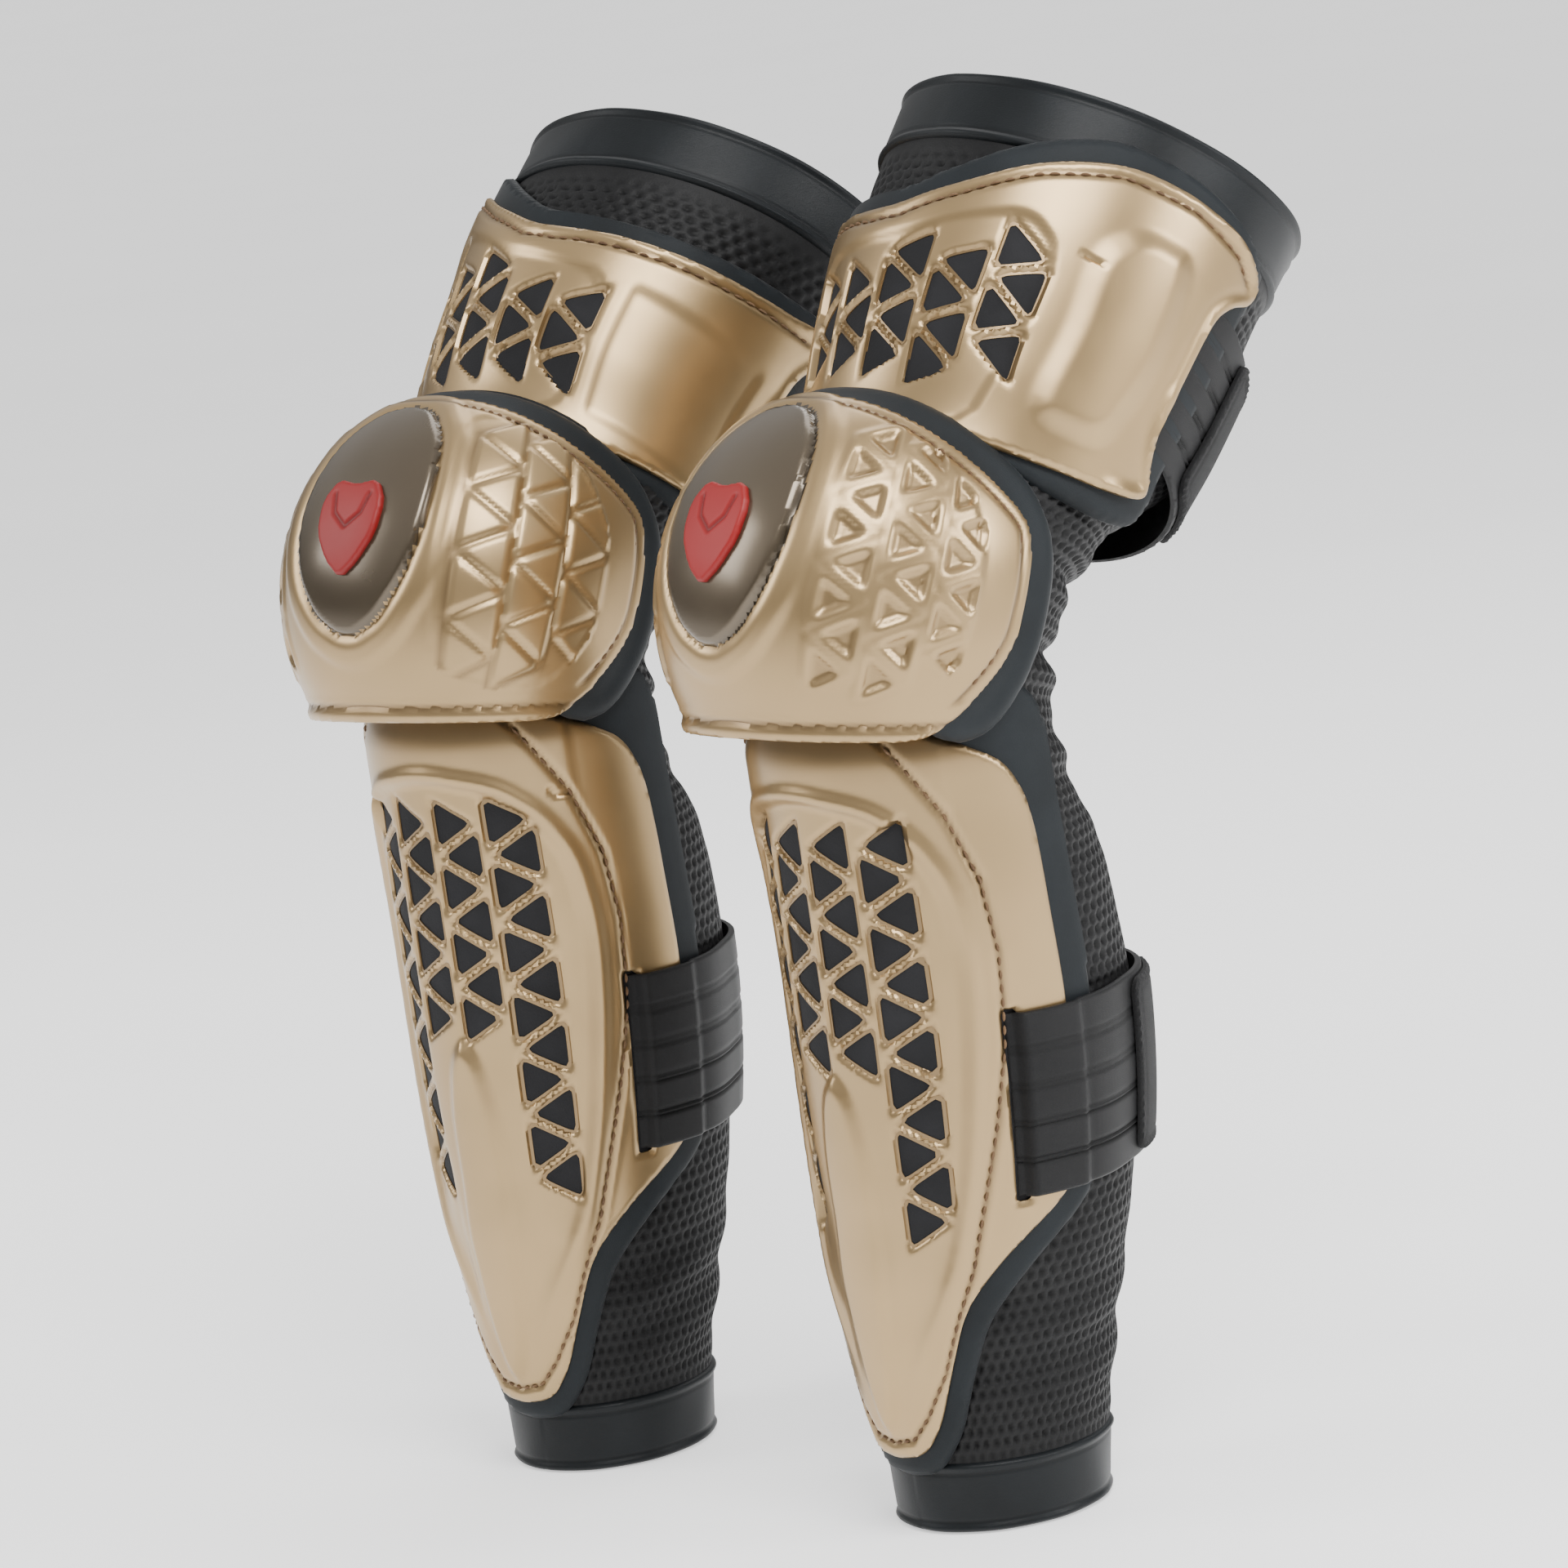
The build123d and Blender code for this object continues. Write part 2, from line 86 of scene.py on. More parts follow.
class Guard:
    """One guard: its side, its knee axis in the row frame and its bend at rest."""

    def __init__(self, side):
        self.side = side
        self.sign = 1 if side == "left" else -1
        joint = next(j for j in frame["joints"] if j["name"] == f"{side}_knee_flex")
        self.knee = np.array(joint["pos_m"], float)
        axis = np.array(joint["axis"], float)
        self.across = -axis / np.linalg.norm(axis)
        self.back = np.cross((0, 0, 1), self.across)
        self.bend = math.radians(MOST_BEND - joint["range_deg"][1])

    def place(self, points):
        """Guard frame, mm, to row frame, m."""
        p = np.asarray(points, float)
        x, y, z = p[..., 0:1] * self.sign, p[..., 1:2] - KNEE_Y, p[..., 2:3] - KNEE_Z
        return self.knee + 0.001 * (x * self.across + y * self.back + z * np.array((0, 0, 1.0)))


def lean(points, angle):
    """Points given about the knee axis, leaned back by an angle, in the guard's frame."""
    x, y, z = np.moveaxis(np.asarray(points, float), -1, 0)
    return np.stack([x, KNEE_Y + y * math.cos(angle) + z * math.sin(angle),
                     KNEE_Z - y * math.sin(angle) + z * math.cos(angle)], -1)


def smoothstep(x):
    """0 up to x = 0 and 1 from x = 1, with a smooth rise between."""
    x = np.clip(x, 0, 1)
    return x * x * (3 - 2 * x)


def stations_at(table, height):
    """Centre and half sizes of a leg at any height, smooth through its stations."""
    x, y = table[:, 0], table[:, 1:]
    slope = np.gradient(y, x, axis=0)
    h = np.clip(height, x[0], x[-1])
    i = np.clip(np.searchsorted(x, h) - 1, 0, len(x) - 2)
    span = (x[i + 1] - x[i])[..., None]
    t = (h[..., None] - x[i][..., None]) / span
    return ((1 + 2 * t) * (1 - t) ** 2 * y[i] + t * (1 - t) ** 2 * span * slope[i]
            + t * t * (3 - 2 * t) * y[i + 1] + t * t * (t - 1) * span * slope[i + 1])


def shin_surface(u, v, off):
    s = stations_at(SHIN, v)
    angle = u / SHIN_ARC
    return np.stack([s[..., 0] + (s[..., 2] + off) * np.sin(angle),
                     s[..., 1] - (s[..., 3] + off) * np.cos(angle), v + 0 * u], -1)


def thigh_surface(bend):
    def surface(u, v, off):
        s = stations_at(THIGH, v)
        angle = u / THIGH_ARC
        local = np.stack([s[..., 0] + (s[..., 2] + off) * np.sin(angle),
                          s[..., 1] - (s[..., 3] + off) * np.cos(angle), v + 0 * u], -1)
        return lean(local, bend)
    return surface


def cup_local(u, v, off):
    """The cup's surface about the knee axis, u round from its front and v up, both arcs in mm."""
    turn, up = u / CUP_ARC, v / CUP_ARC
    x, y, z = np.sin(turn) * np.cos(up), -np.cos(turn) * np.cos(up), np.sin(up) + 0 * turn
    half, radius = CUP_HALF_WIDTH + off, CUP_RADIUS + off
    size = ((np.abs(x) / half) ** CUP_POWER + (np.hypot(y, z) / radius) ** CUP_POWER) ** (-1 / CUP_POWER)
    return np.stack([x, y, z], -1) * size[..., None]


def cup_surface(u, v, off):
    return lean(cup_local(u, v, off), CUP_TILT)


class SleeveRows:
    """The sleeve's rows, from the ankle, round the knee, to the thigh: front and back points."""

    def __init__(self, bend, step):
        pivot = KNEE_REACH / math.tan(bend / 2)
        low_z = KNEE_Z - KNEE_REACH
        fan = 0.5 * (KNEE_REACH / math.sin(bend / 2) + pivot) * bend
        self.start, self.low, self.high = 20.0, low_z, low_z + fan
        self.end = self.high + THIGH_TOP - THIGH_BAND - KNEE_REACH
        v = np.arange(self.start, self.end + 30.0, step)
        shin = stations_at(SHIN, np.minimum(v, low_z))
        thigh = stations_at(THIGH, np.maximum(v - self.high, 0) + KNEE_REACH)
        t = np.clip((v - low_z) / fan, 0, 1)
        angle = t * bend
        middle = KNEE_REACH / math.sin(bend / 2)
        back0, back1 = shin[:, 1] + shin[:, 3] - KNEE_Y, thigh[:, 1] + thigh[:, 3]
        lag0, lagm, lag1 = (1 - t) * (1 - 2 * t), 4 * t * (1 - t), t * (2 * t - 1)
        front = self.front_reach(v, angle, bend, pivot)
        back = lag0 * (pivot - back0) + lagm * (middle - KNEE_BACK) + lag1 * (pivot - back1)
        rise = np.where(v < low_z, v - low_z, 0.0)
        beyond = np.maximum(v - self.high, 0)
        along = np.stack([np.cos(angle), -np.sin(angle)], -1)
        upward = np.stack([np.sin(angle), np.cos(angle)], -1)
        origin = np.array([pivot, -KNEE_REACH]) + (rise + beyond)[:, None] * upward
        self.v = v
        self.front = self.soften(origin - front[:, None] * along)
        self.back = self.soften(origin - back[:, None] * along)
        width = lag0 * shin[:, 2] + lagm * 56.5 + lag1 * thigh[:, 2]
        shift = lag0 * shin[:, 0] + lagm * 0 + lag1 * thigh[:, 0]
        self.width = self.soften(width[:, None])[:, 0]
        self.shift = self.soften(shift[:, None])[:, 0]

    def front_reach(self, v, angle, bend, pivot):
        """How far each row's front lies from the line that the fan of rows turns about."""
        heights = np.arange(-KNEE_REACH, -30.0, 2.0)
        shin = stations_at(SHIN, KNEE_Z + heights)
        low = np.stack([shin[:, 1] - shin[:, 3] - KNEE_Y, heights], -1)
        turn = np.linspace(math.radians(-22), bend - math.radians(28), 12)
        knee = np.stack([-KNEE_FRONT * np.cos(turn), KNEE_FRONT * np.sin(turn)], -1)
        along = np.arange(46.0, KNEE_REACH + 1, 2.0)
        thigh = stations_at(THIGH, along)
        y, z = thigh[:, 1] - thigh[:, 3], along
        cos, sin = math.cos(bend), math.sin(bend)
        high = np.stack([y * cos + z * sin, z * cos - y * sin], -1)
        line = np.concatenate([low, knee, high]) - (pivot, -KNEE_REACH)
        fan = np.interp(angle, np.arctan2(line[:, 1], -line[:, 0]), np.hypot(line[:, 0], line[:, 1]))
        shin = stations_at(SHIN, np.minimum(v, self.low))
        thigh = stations_at(THIGH, np.maximum(v - self.high, 0) + KNEE_REACH)
        below = pivot - (shin[:, 1] - shin[:, 3] - KNEE_Y)
        above = pivot - (thigh[:, 1] - thigh[:, 3])
        return np.where(v < self.low, below, np.where(v > self.high, above, fan))

    @staticmethod
    def soften(rows, reach=6):
        """Rows averaged with their neighbours, ends kept."""
        out = rows.copy()
        for _ in range(3):
            padded = np.concatenate([2 * out[:1] - out[1:reach + 1][::-1], out,
                                     2 * out[-1:] - out[-reach - 1:-1][::-1]])
            total = np.cumsum(np.concatenate([np.zeros((1, rows.shape[1])), padded]), axis=0)
            out = (total[2 * reach + 1:] - total[:-2 * reach - 1]) / (2 * reach + 1)
        return out

    def surface(self, u, v, off):
        at = lambda table: np.interp(v, self.v, table)
        front = np.stack([at(self.front[:, 0]), at(self.front[:, 1])], -1)
        back = np.stack([at(self.back[:, 0]), at(self.back[:, 1])], -1)
        half = (back - front) / 2
        depth = np.linalg.norm(half, axis=-1)
        angle = u / SHIN_ARC
        centre = (back + front) / 2
        side = centre - ((depth + off) * np.cos(angle) / depth)[..., None] * half
        x = at(self.shift) + (at(self.width) + off) * np.sin(angle)
        return np.stack([x, KNEE_Y + side[..., 0], KNEE_Z + side[..., 1]], -1)


# ==== outlines as signed distances, negative inside ====
def rounded(points, cuts=3):
    """A closed outline with its corners cut round."""
    p = np.array(points, float)
    for _ in range(cuts):
        q = np.roll(p, -1, axis=0)
        p = np.stack([0.8 * p + 0.2 * q, 0.2 * p + 0.8 * q], 1).reshape(-1, 2)
    return p


def line_distance(u, v, points, closed=False):
    """Distance to a polyline, and the length along it at the nearest point."""
    p = np.array(points, float)
    q = np.roll(p, -1, axis=0)
    if not closed:
        p, q = p[:-1], q[:-1]
    best, where, run = np.full(u.shape, 1e9), np.zeros(u.shape), 0.0
    for (ax, ay), (bx, by) in zip(p, q):
        dx, dy = bx - ax, by - ay
        size = dx * dx + dy * dy
        t = np.clip(((u - ax) * dx + (v - ay) * dy) / size, 0, 1)
        d = np.hypot(u - ax - t * dx, v - ay - t * dy)
        nearer = d < best
        best = np.where(nearer, d, best)
        where = np.where(nearer, run + t * math.sqrt(size), where)
        run += math.sqrt(size)
    return best, where


def inside_polygon(u, v, points):
    """Signed distance to a closed outline."""
    p = np.array(points, float)
    q = np.roll(p, -1, axis=0)
    within = np.zeros(u.shape, bool)
    for (ax, ay), (bx, by) in zip(p, q):
        crosses = (ay > v) != (by > v)
        level = by - ay if by != ay else 1e-9
        within ^= crosses & (u < (bx - ax) * (v - ay) / level + ax)
    distance, _ = line_distance(u, v, points, closed=True)
    return np.where(within, -distance, distance)


def soft_triangle(u, v, centre_u, centre_v, turn, size):
    """A triangle with round corners that points to +u or -u."""
    x, y = (u - centre_u) * turn, v - centre_v
    sides = np.stack([-x, 0.5 * x + 0.866 * y, 0.5 * x - 0.866 * y]) - size / 2
    sharp = 1.1
    return np.log(np.exp(np.clip(sharp * sides, -30, 30)).sum(0)) / sharp


def lattice(columns, low, high, pitch, allowed):
    """Cells of a triangular lattice with upright ribs: centre, height and way they point."""
    cells = []
    for column in columns:
        across = column * pitch * 0.866
        for row in range(int((high - low) / (pitch / 2)) + 1):
            height = low + row * pitch / 2
            if allowed(across, height):
                turn = 1 if (row + round(column)) % 2 else -1
                cells.append((across - turn * pitch * 0.144, height, turn))
    return cells


def cell_distance(u, v, cells, size):
    """Signed distance to the triangles of a lattice, negative inside them."""
    holes = np.full(u.shape, OUTSIDE)
    for centre_u, centre_v, turn in cells:
        near = (np.abs(u - centre_u) < 2 * size) & (np.abs(v - centre_v) < 2 * size)
        d = soft_triangle(u[near], v[near], centre_u, centre_v, turn, size)
        holes[near] = np.minimum(holes[near], d)
    return holes


def cut_by(distance, u, v, cells, size):
    """An outline's distance with triangular holes taken out."""
    return np.maximum(distance, -cell_distance(u, v, cells, size))


# ==== meshes ====
def mesh_object(name, points, faces, material, painted_shade=None, flip=False, sharp=50.0):
    """A smooth-shaded mesh in the row frame, with an optional value on each vertex for painted shading in its
    colour.
    """
    if flip:
        faces = [face[::-1] for face in faces]
    mesh = bpy.data.meshes.new(name)
    mesh.from_pydata(points.tolist(), [], faces)
    mesh.update()
    mesh.shade_smooth()
    mesh.set_sharp_from_angle(angle=math.radians(sharp))
    for item in material if isinstance(material, list) else [material]:
        mesh.materials.append(item)
    if painted_shade is not None:
        layer = mesh.attributes.new("painted_shade", "FLOAT", "POINT")
        layer.data.foreach_set("value", np.asarray(painted_shade, np.float32))
    piece = bpy.data.objects.new(name, mesh)
    bpy.context.scene.collection.objects.link(piece)
    return piece


def turned_out(points, faces, outward):
    """True if the faces look the wrong way, judged by an outward direction at each vertex."""
    f = np.array([face[:3] for face in faces[:: max(1, len(faces) // 400)]])
    normal = np.cross(points[f[:, 1]] - points[f[:, 0]], points[f[:, 2]] - points[f[:, 0]])
    return (normal * outward[f[:, 0]]).sum() < 0


def slab(name, guard, surface, box, step, outline, outer, inner, material, sharp=50.0, pick=None):
    """A closed plate on a surface, where outline(u, v) is negative.

    outer and inner give the offsets of its two skins at (u, v, distance), and outer may give a
    value of painted shading too. Vertices close to the rim are drawn onto it. pick chooses a second material."""
    u0, u1, v0, v1 = box
    u, v = np.meshgrid(np.arange(u0, u1 + step, step), np.arange(v0, v1 + step, step), indexing="ij")
    d = outline(u, v)
    e = step * 0.2
    gu = (outline(u + e, v) - outline(u - e, v)) / (2 * e)
    gv = (outline(u, v + e) - outline(u, v - e)) / (2 * e)
    size = gu * gu + gv * gv + 1e-6
    near = np.abs(d) < 0.55 * step * np.sqrt(size)
    u = np.where(near, u - d * gu / size, u)
    v = np.where(near, v - d * gv / size, v)
    kept = near | (d < 0)
    d = np.where(near, 0.0, d)

    def four(grid):
        return [grid[:-1, :-1], grid[1:, :-1], grid[1:, 1:], grid[:-1, 1:]]

    held = four(kept)
    count = sum(k.astype(int) for k in held)
    middle = outline(sum(four(u)) / 4, sum(four(v)) / 4)
    corners = four(np.arange(u.size).reshape(u.shape))
    whole = (count == 4) & (middle < 0.3 * step)
    quads = np.stack([k[whole] for k in corners], -1)
    faces = [tuple(q) for q in quads.tolist()]
    for missing in range(4):
        lone = (count == 3) & ~held[missing]
        three = [corners[k][lone] for k in range(4) if k != missing]
        faces += [tuple(q) for q in np.stack(three, -1).tolist()]
    used = np.unique(np.concatenate([np.array(f).ravel() for f in faces])) if faces else []
    remap = -np.ones(u.size, int)
    remap[used] = np.arange(len(used))
    faces = [tuple(int(remap[k]) for k in f) for f in faces]
    u, v, d = u.ravel()[used], v.ravel()[used], d.ravel()[used]
    out = outer(u, v, d)
    off, painted_shade = out if isinstance(out, tuple) else (out, np.zeros_like(u))
    top = guard.place(surface(u, v, off))
    low = guard.place(surface(u, v, inner(u, v, d)))
    edges = {}
    for f in faces:
        for pair in zip(f, f[1:] + f[:1]):
            if edges.pop(pair[::-1], None) is None:
                edges[pair] = True
    n = len(used)
    lower = [tuple(k + n for k in f[::-1]) for f in faces]
    rim = [(q, p, p + n, q + n) for p, q in edges]
    points = np.concatenate([top, low])
    outward = top - low
    flip = turned_out(points, faces, outward)
    second = pick(u, v) if pick is not None else None
    upper_count = len(faces)
    # the inner skin gets painted shading at half strength
    piece = mesh_object(name, points, faces + lower + rim, material,
                        np.concatenate([painted_shade, np.ones(n) * 0.5]), flip, sharp)
    if second is not None:
        index = np.zeros(len(piece.data.polygons), np.int32)
        index[:upper_count] = [1 if second[f[0]] else 0 for f in faces]
        piece.data.polygons.foreach_set("material_index", index)
    return piece


def level(offset):
    """A skin at one offset all over."""
    return lambda u, v, d: np.full_like(u, offset)


def rim_drop(distance, radius):
    """How far a rounded edge falls at a distance inside the rim."""
    t = np.clip((distance + radius) / radius, 0, 1)
    return radius * (1 - np.sqrt(1 - t * t))


def groove(distance, width, depth):
    """The depth of a round-bottomed line at a distance from its middle."""
    return depth * np.exp(-(distance / width) ** 2)


def ring_faces(rings, sides, first):
    """The faces of a rod made of rings of points, and its two ends."""
    faces = []
    for i in range(rings - 1):
        for k in range(sides):
            here, there, m = first + i * sides, first + (i + 1) * sides, (k + 1) % sides
            faces.append((here + k, there + k, there + m, here + m))
    last = first + (rings - 1) * sides
    return faces + [tuple(range(first, first + sides)), tuple(range(last, last + sides))[::-1]]


def tube(name, guard, surface, path, off, radius, material, sides=8, squash=1.0):
    """A round cord of thread or tape laid on a surface along a path of (u, v) points."""
    u, v = np.array(path, float).T
    centre = guard.place(surface(u, v, np.full(len(u), off)))
    upward = guard.place(surface(u, v, np.full(len(u), off + 1.0))) - centre
    upward /= np.linalg.norm(upward, axis=1)[:, None]
    along = np.roll(centre, -1, axis=0) - np.roll(centre, 1, axis=0)
    along[0], along[-1] = centre[1] - centre[0], centre[-1] - centre[-2]
    side = np.cross(along, upward)
    side /= np.linalg.norm(side, axis=1)[:, None]
    turn = np.linspace(0, 2 * math.pi, sides, endpoint=False)
    r = radius * 0.001
    ring = (centre[:, None] + r * np.cos(turn)[None, :, None] * side[:, None]
            + r * squash * np.sin(turn)[None, :, None] * upward[:, None])
    points = ring.reshape(-1, 3)
    faces = ring_faces(len(u), sides, 0)
    outward = points - np.repeat(centre, sides, axis=0)
    return mesh_object(name, points, faces, material, None, turned_out(points, faces, outward))


def stitches(name, guard, surface, path, off, material, length=3.4, gap=1.6, radius=0.55):
    """A row of thread stitches sunk in a groove along a path, one mesh."""
    p = np.array(path, float)
    step = np.hypot(*np.diff(p, axis=0).T)
    run = np.concatenate([[0], np.cumsum(step)])
    total = run[-1]
    points, faces = [], []
    ring = np.linspace(0, 2 * math.pi, 6, endpoint=False)
    for start in np.arange(1.0, total - length, length + gap):
        t = start + np.linspace(0, 1, 6) * length
        u, v = np.interp(t, run, p[:, 0]), np.interp(t, run, p[:, 1])
        hump = np.sin(np.linspace(0, math.pi, 6)) * 0.5
        centre = surface(u, v, off + hump - 0.35)
        upward = surface(u, v, off + hump + 0.65) - centre
        upward /= np.linalg.norm(upward, axis=1)[:, None]
        along = np.gradient(centre, axis=0)
        side = np.cross(along, upward)
        side /= np.linalg.norm(side, axis=1)[:, None]
        thick = radius * np.array([0.35, 0.85, 1, 1, 0.85, 0.35])
        base = len(points)
        for i in range(6):
            for a in ring:
                points.append(centre[i] + thick[i] * (math.cos(a) * side[i] + math.sin(a) * upward[i]))
        faces += ring_faces(6, 6, base)
    world = guard.place(np.array(points))
    return mesh_object(name, world, faces, material, None, guard.sign < 0)


def resample(path, step):
    """A polyline with evenly spaced points."""
    p = np.array(path, float)
    run = np.concatenate([[0], np.cumsum(np.hypot(*np.diff(p, axis=0).T))])
    t = np.arange(0, run[-1], step)
    return np.stack([np.interp(t, run, p[:, 0]), np.interp(t, run, p[:, 1])], -1)


# ==== materials ====
def new_material(name):
    m = bpy.data.materials.new(name)
    m.use_nodes = True
    nodes, links = m.node_tree.nodes, m.node_tree.links
    return m, nodes, links, nodes["Principled BSDF"]


def colour_by(nodes, links, source, low, high):
    """A ramp between two colours by a node's output."""
    ramp = nodes.new("ShaderNodeValToRGB")
    ramp.color_ramp.elements[0].position, ramp.color_ramp.elements[1].position = 0.3, 0.7
    ramp.color_ramp.elements[0].color = (*low, 1)
    ramp.color_ramp.elements[1].color = (*high, 1)
    links.new(source, ramp.inputs["Fac"])
    return ramp.outputs["Color"]


def noise(nodes, links, scale, detail=3.0, stretch=(1, 1, 1)):
    where = nodes.new("ShaderNodeTexCoord")
    mapping = nodes.new("ShaderNodeMapping")
    mapping.inputs["Scale"].default_value = stretch
    n = nodes.new("ShaderNodeTexNoise")
    n.inputs["Scale"].default_value = scale
    n.inputs["Detail"].default_value = detail
    links.new(where.outputs["Object"], mapping.inputs["Vector"])
    links.new(mapping.outputs["Vector"], n.inputs["Vector"])
    return n.outputs["Fac"]


def add_bump(nodes, links, shader, height, strength, distance):
    bump = nodes.new("ShaderNodeBump")
    bump.inputs["Strength"].default_value = strength
    bump.inputs["Distance"].default_value = distance
    links.new(height, bump.inputs["Height"])
    links.new(bump.outputs["Normal"], shader.inputs["Normal"])


def mixed_with_painted_shade(nodes, links, colour, painted_shade_colour):
    """A colour mixed towards a dark one by the mesh's painted-shading value: painted shading in grooves,
    hollows and rims.
    """
    painted_shade = nodes.new("ShaderNodeAttribute")
    painted_shade.attribute_name = "painted_shade"
    mix = nodes.new("ShaderNodeMix")
    mix.data_type = "RGBA"
    links.new(painted_shade.outputs["Fac"], mix.inputs["Factor"])
    links.new(colour, mix.inputs["A"])
    mix.inputs["B"].default_value = (*painted_shade_colour, 1)
    return mix.outputs["Result"]


def painted(name, low, high, painted_shade_colour, metallic, roughness, coat):
    """Metallic paint on moulded plastic: broad tone drift, fine flake and painted shading in the grooves."""
    m, nodes, links, shader = new_material(name)
    base = colour_by(nodes, links, noise(nodes, links, 9.0), low, high)
    links.new(mixed_with_painted_shade(nodes, links, base, painted_shade_colour), shader.inputs["Base Color"])
    shader.inputs["Metallic"].default_value = metallic
    rough = nodes.new("ShaderNodeMapRange")
    rough.inputs["To Min"].default_value = roughness - 0.05
    rough.inputs["To Max"].default_value = roughness + 0.07
    links.new(noise(nodes, links, 60.0, 5.0), rough.inputs["Value"])
    links.new(rough.outputs["Result"], shader.inputs["Roughness"])
    shader.inputs["Coat Weight"].default_value = coat
    shader.inputs["Coat Roughness"].default_value = 0.22
    add_bump(nodes, links, shader, noise(nodes, links, 2600.0, 2.0), 0.10, 0.00006)
    return m


def cloth(name, low, high, painted_shade_colour, roughness, sheen, grain, strength=0.5, depth=0.00025, stretch=(1, 1, 1)):
    """Knitted or woven cloth: fine grain, slight tone drift, sheen and painted shading in its hollows."""
    m, nodes, links, shader = new_material(name)
    base = colour_by(nodes, links, noise(nodes, links, 35.0, 4.0), low, high)
    links.new(mixed_with_painted_shade(nodes, links, base, painted_shade_colour), shader.inputs["Base Color"])
    shader.inputs["Roughness"].default_value = roughness
    shader.inputs["Sheen Weight"].default_value = sheen
    shader.inputs["Sheen Roughness"].default_value = 0.4
    shader.inputs["Specular IOR Level"].default_value = 0.22
    add_bump(nodes, links, shader, noise(nodes, links, grain, 2.0, stretch), strength, depth)
    return m


# the third colour of each material is its painted shading, mixed in by each mesh's painted-shading value
BRONZE = painted("bronze_paint", (0.36, 0.245, 0.118), (0.45, 0.31, 0.152), (0.06, 0.032, 0.013),
                 0.82, 0.33, 0.25)
# the cup's oval is the same bronze paint; this darker colour is a painted reflection of the dark surroundings
BRONZE_DARK_REFLECTION = painted("bronze_painted_dark_reflection", (0.085, 0.064, 0.040), (0.125, 0.095, 0.060), (0.012, 0.009, 0.006),
                0.7, 0.24, 0.6)
RED = painted("red_gloss", (0.20, 0.0, 0.0), (0.26, 0.0, 0.0005), (0.04, 0.0, 0.0), 0.0, 0.5, 0.0)
MESH = cloth("mesh_knit", (0.0048, 0.0048, 0.0052), (0.010, 0.010, 0.0104), (0.0004, 0.0004, 0.0005),
             0.55, 0.025, 1400.0)
BAND = cloth("elastic_band", (0.0032, 0.0044, 0.0052), (0.0055, 0.0073, 0.0088), (0.001, 0.0015, 0.002),
             0.45, 0.05, 900.0, 0.35, 0.0002, (1, 1, 5))
NEOPRENE = cloth("neoprene", (0.006, 0.0080, 0.0096), (0.010, 0.0132, 0.0158), (0.0015, 0.002, 0.0025),
                 0.6, 0.05, 2200.0, 0.3)
TAPE = cloth("binding_tape", (0.003, 0.0035, 0.004), (0.006, 0.007, 0.008), (0.0005, 0.0005, 0.0005),
             0.6, 0.025, 1800.0)
WEB = cloth("strap_webbing", (0.0045, 0.0045, 0.005), (0.0085, 0.0085, 0.009), (0.0005, 0.0005, 0.0005),
            0.5, 0.04, 1600.0, 0.6, 0.0003, (1, 1, 4))
HOOK = cloth("hook_tape", (0.004, 0.004, 0.0045), (0.014, 0.014, 0.0145), (0.0005, 0.0005, 0.0005),
             0.8, 0.075, 2600.0, 1.0, 0.0006)
FOAM = cloth("impact_foam", (0.010, 0.010, 0.011), (0.018, 0.018, 0.020), (0.002, 0.002, 0.002),
             0.8, 0.0, 1200.0)
SILICONE = cloth("silicone_grip", (0.010, 0.010, 0.011), (0.018, 0.018, 0.019), (0.003, 0.003, 0.003),
                 0.4, 0.0, 500.0, 0.2)
THREAD_BROWN = cloth("brown_thread", (0.10, 0.055, 0.028), (0.17, 0.10, 0.05), (0.02, 0.01, 0.005),
                     0.6, 0.05, 3000.0)


# ==== shin plate ====
def arc(points, radius):
    """Outline points given as (degrees round the leg, height) to (arc, height)."""
    return [(math.radians(angle) * radius, height) for angle, height in points]


def both_sides(half):
    """A closed outline from its outer half, mirrored onto the inner side."""
    return list(half) + [(-u, v) for u, v in reversed(half) if u > 0.01]


SHIN_HALF = arc([(0, 29), (16, 31), (26, 43), (33, 62), (41, 86), (57, 104), (78, 121), (83, 130), (83, 200),
                 (83, 262), (76, 280), (60, 290), (40, 299), (0, 306)], SHIN_ARC)
SHIN_OUTLINE = rounded(both_sides(SHIN_HALF), 3)
SHIN_GROOVE = arc([(0, 35), (12, 37), (21, 46), (31, 62), (38, 82), (45, 100), (50, 122), (56, 150),
                   (61, 180), (63, 214), (61, 240), (53, 265), (42, 284), (34, 296)], SHIN_ARC)
SHIN_FIELD = rounded(both_sides(arc([(0, 36), (9, 44), (20, 62), (32, 84), (41, 104), (48, 140), (52, 180),
                                     (54, 214), (51, 240), (42, 258), (28, 270), (0, 276)], SHIN_ARC)), 2)
KEEL = rounded(both_sides([(0, 36), (7, 42), (12, 60), (15, 100), (14, 140), (9, 166), (0, 176)]), 2)
SLOT = (66.5, 2.6, 157.5, 35.0)         # arc, half width, middle height, half height
SHIN_VENT = 10.2                        # twice the inner radius of one vent
SHIN_TUCK, TUCK_DEPTH = 283.0, 4.0      # above this height the plate dips under the knee cup


def shin_cell(across, height):
    field = np.interp(height, [100, 130, 150, 200, 240, 256, 268], [30, 44, 50, 56, 52, 40, 12])
    keel = abs(across) < 17 and height < 176
    return abs(across) < field - 5 and height > 103 and not keel


SHIN_CELLS = lattice([-2.5, -1.5, -0.5, 0.5, 1.5, 2.5], 106.0, 262.0, 25.0, shin_cell)


def slot_distance(u, v):
    centre, half, middle, tall = SLOT
    x, y = np.abs(np.abs(u) - centre) - half, np.abs(v - middle) - tall
    return np.maximum(x, y)


def tuck(v):
    return TUCK_DEPTH * smoothstep((v - SHIN_TUCK) / 22)


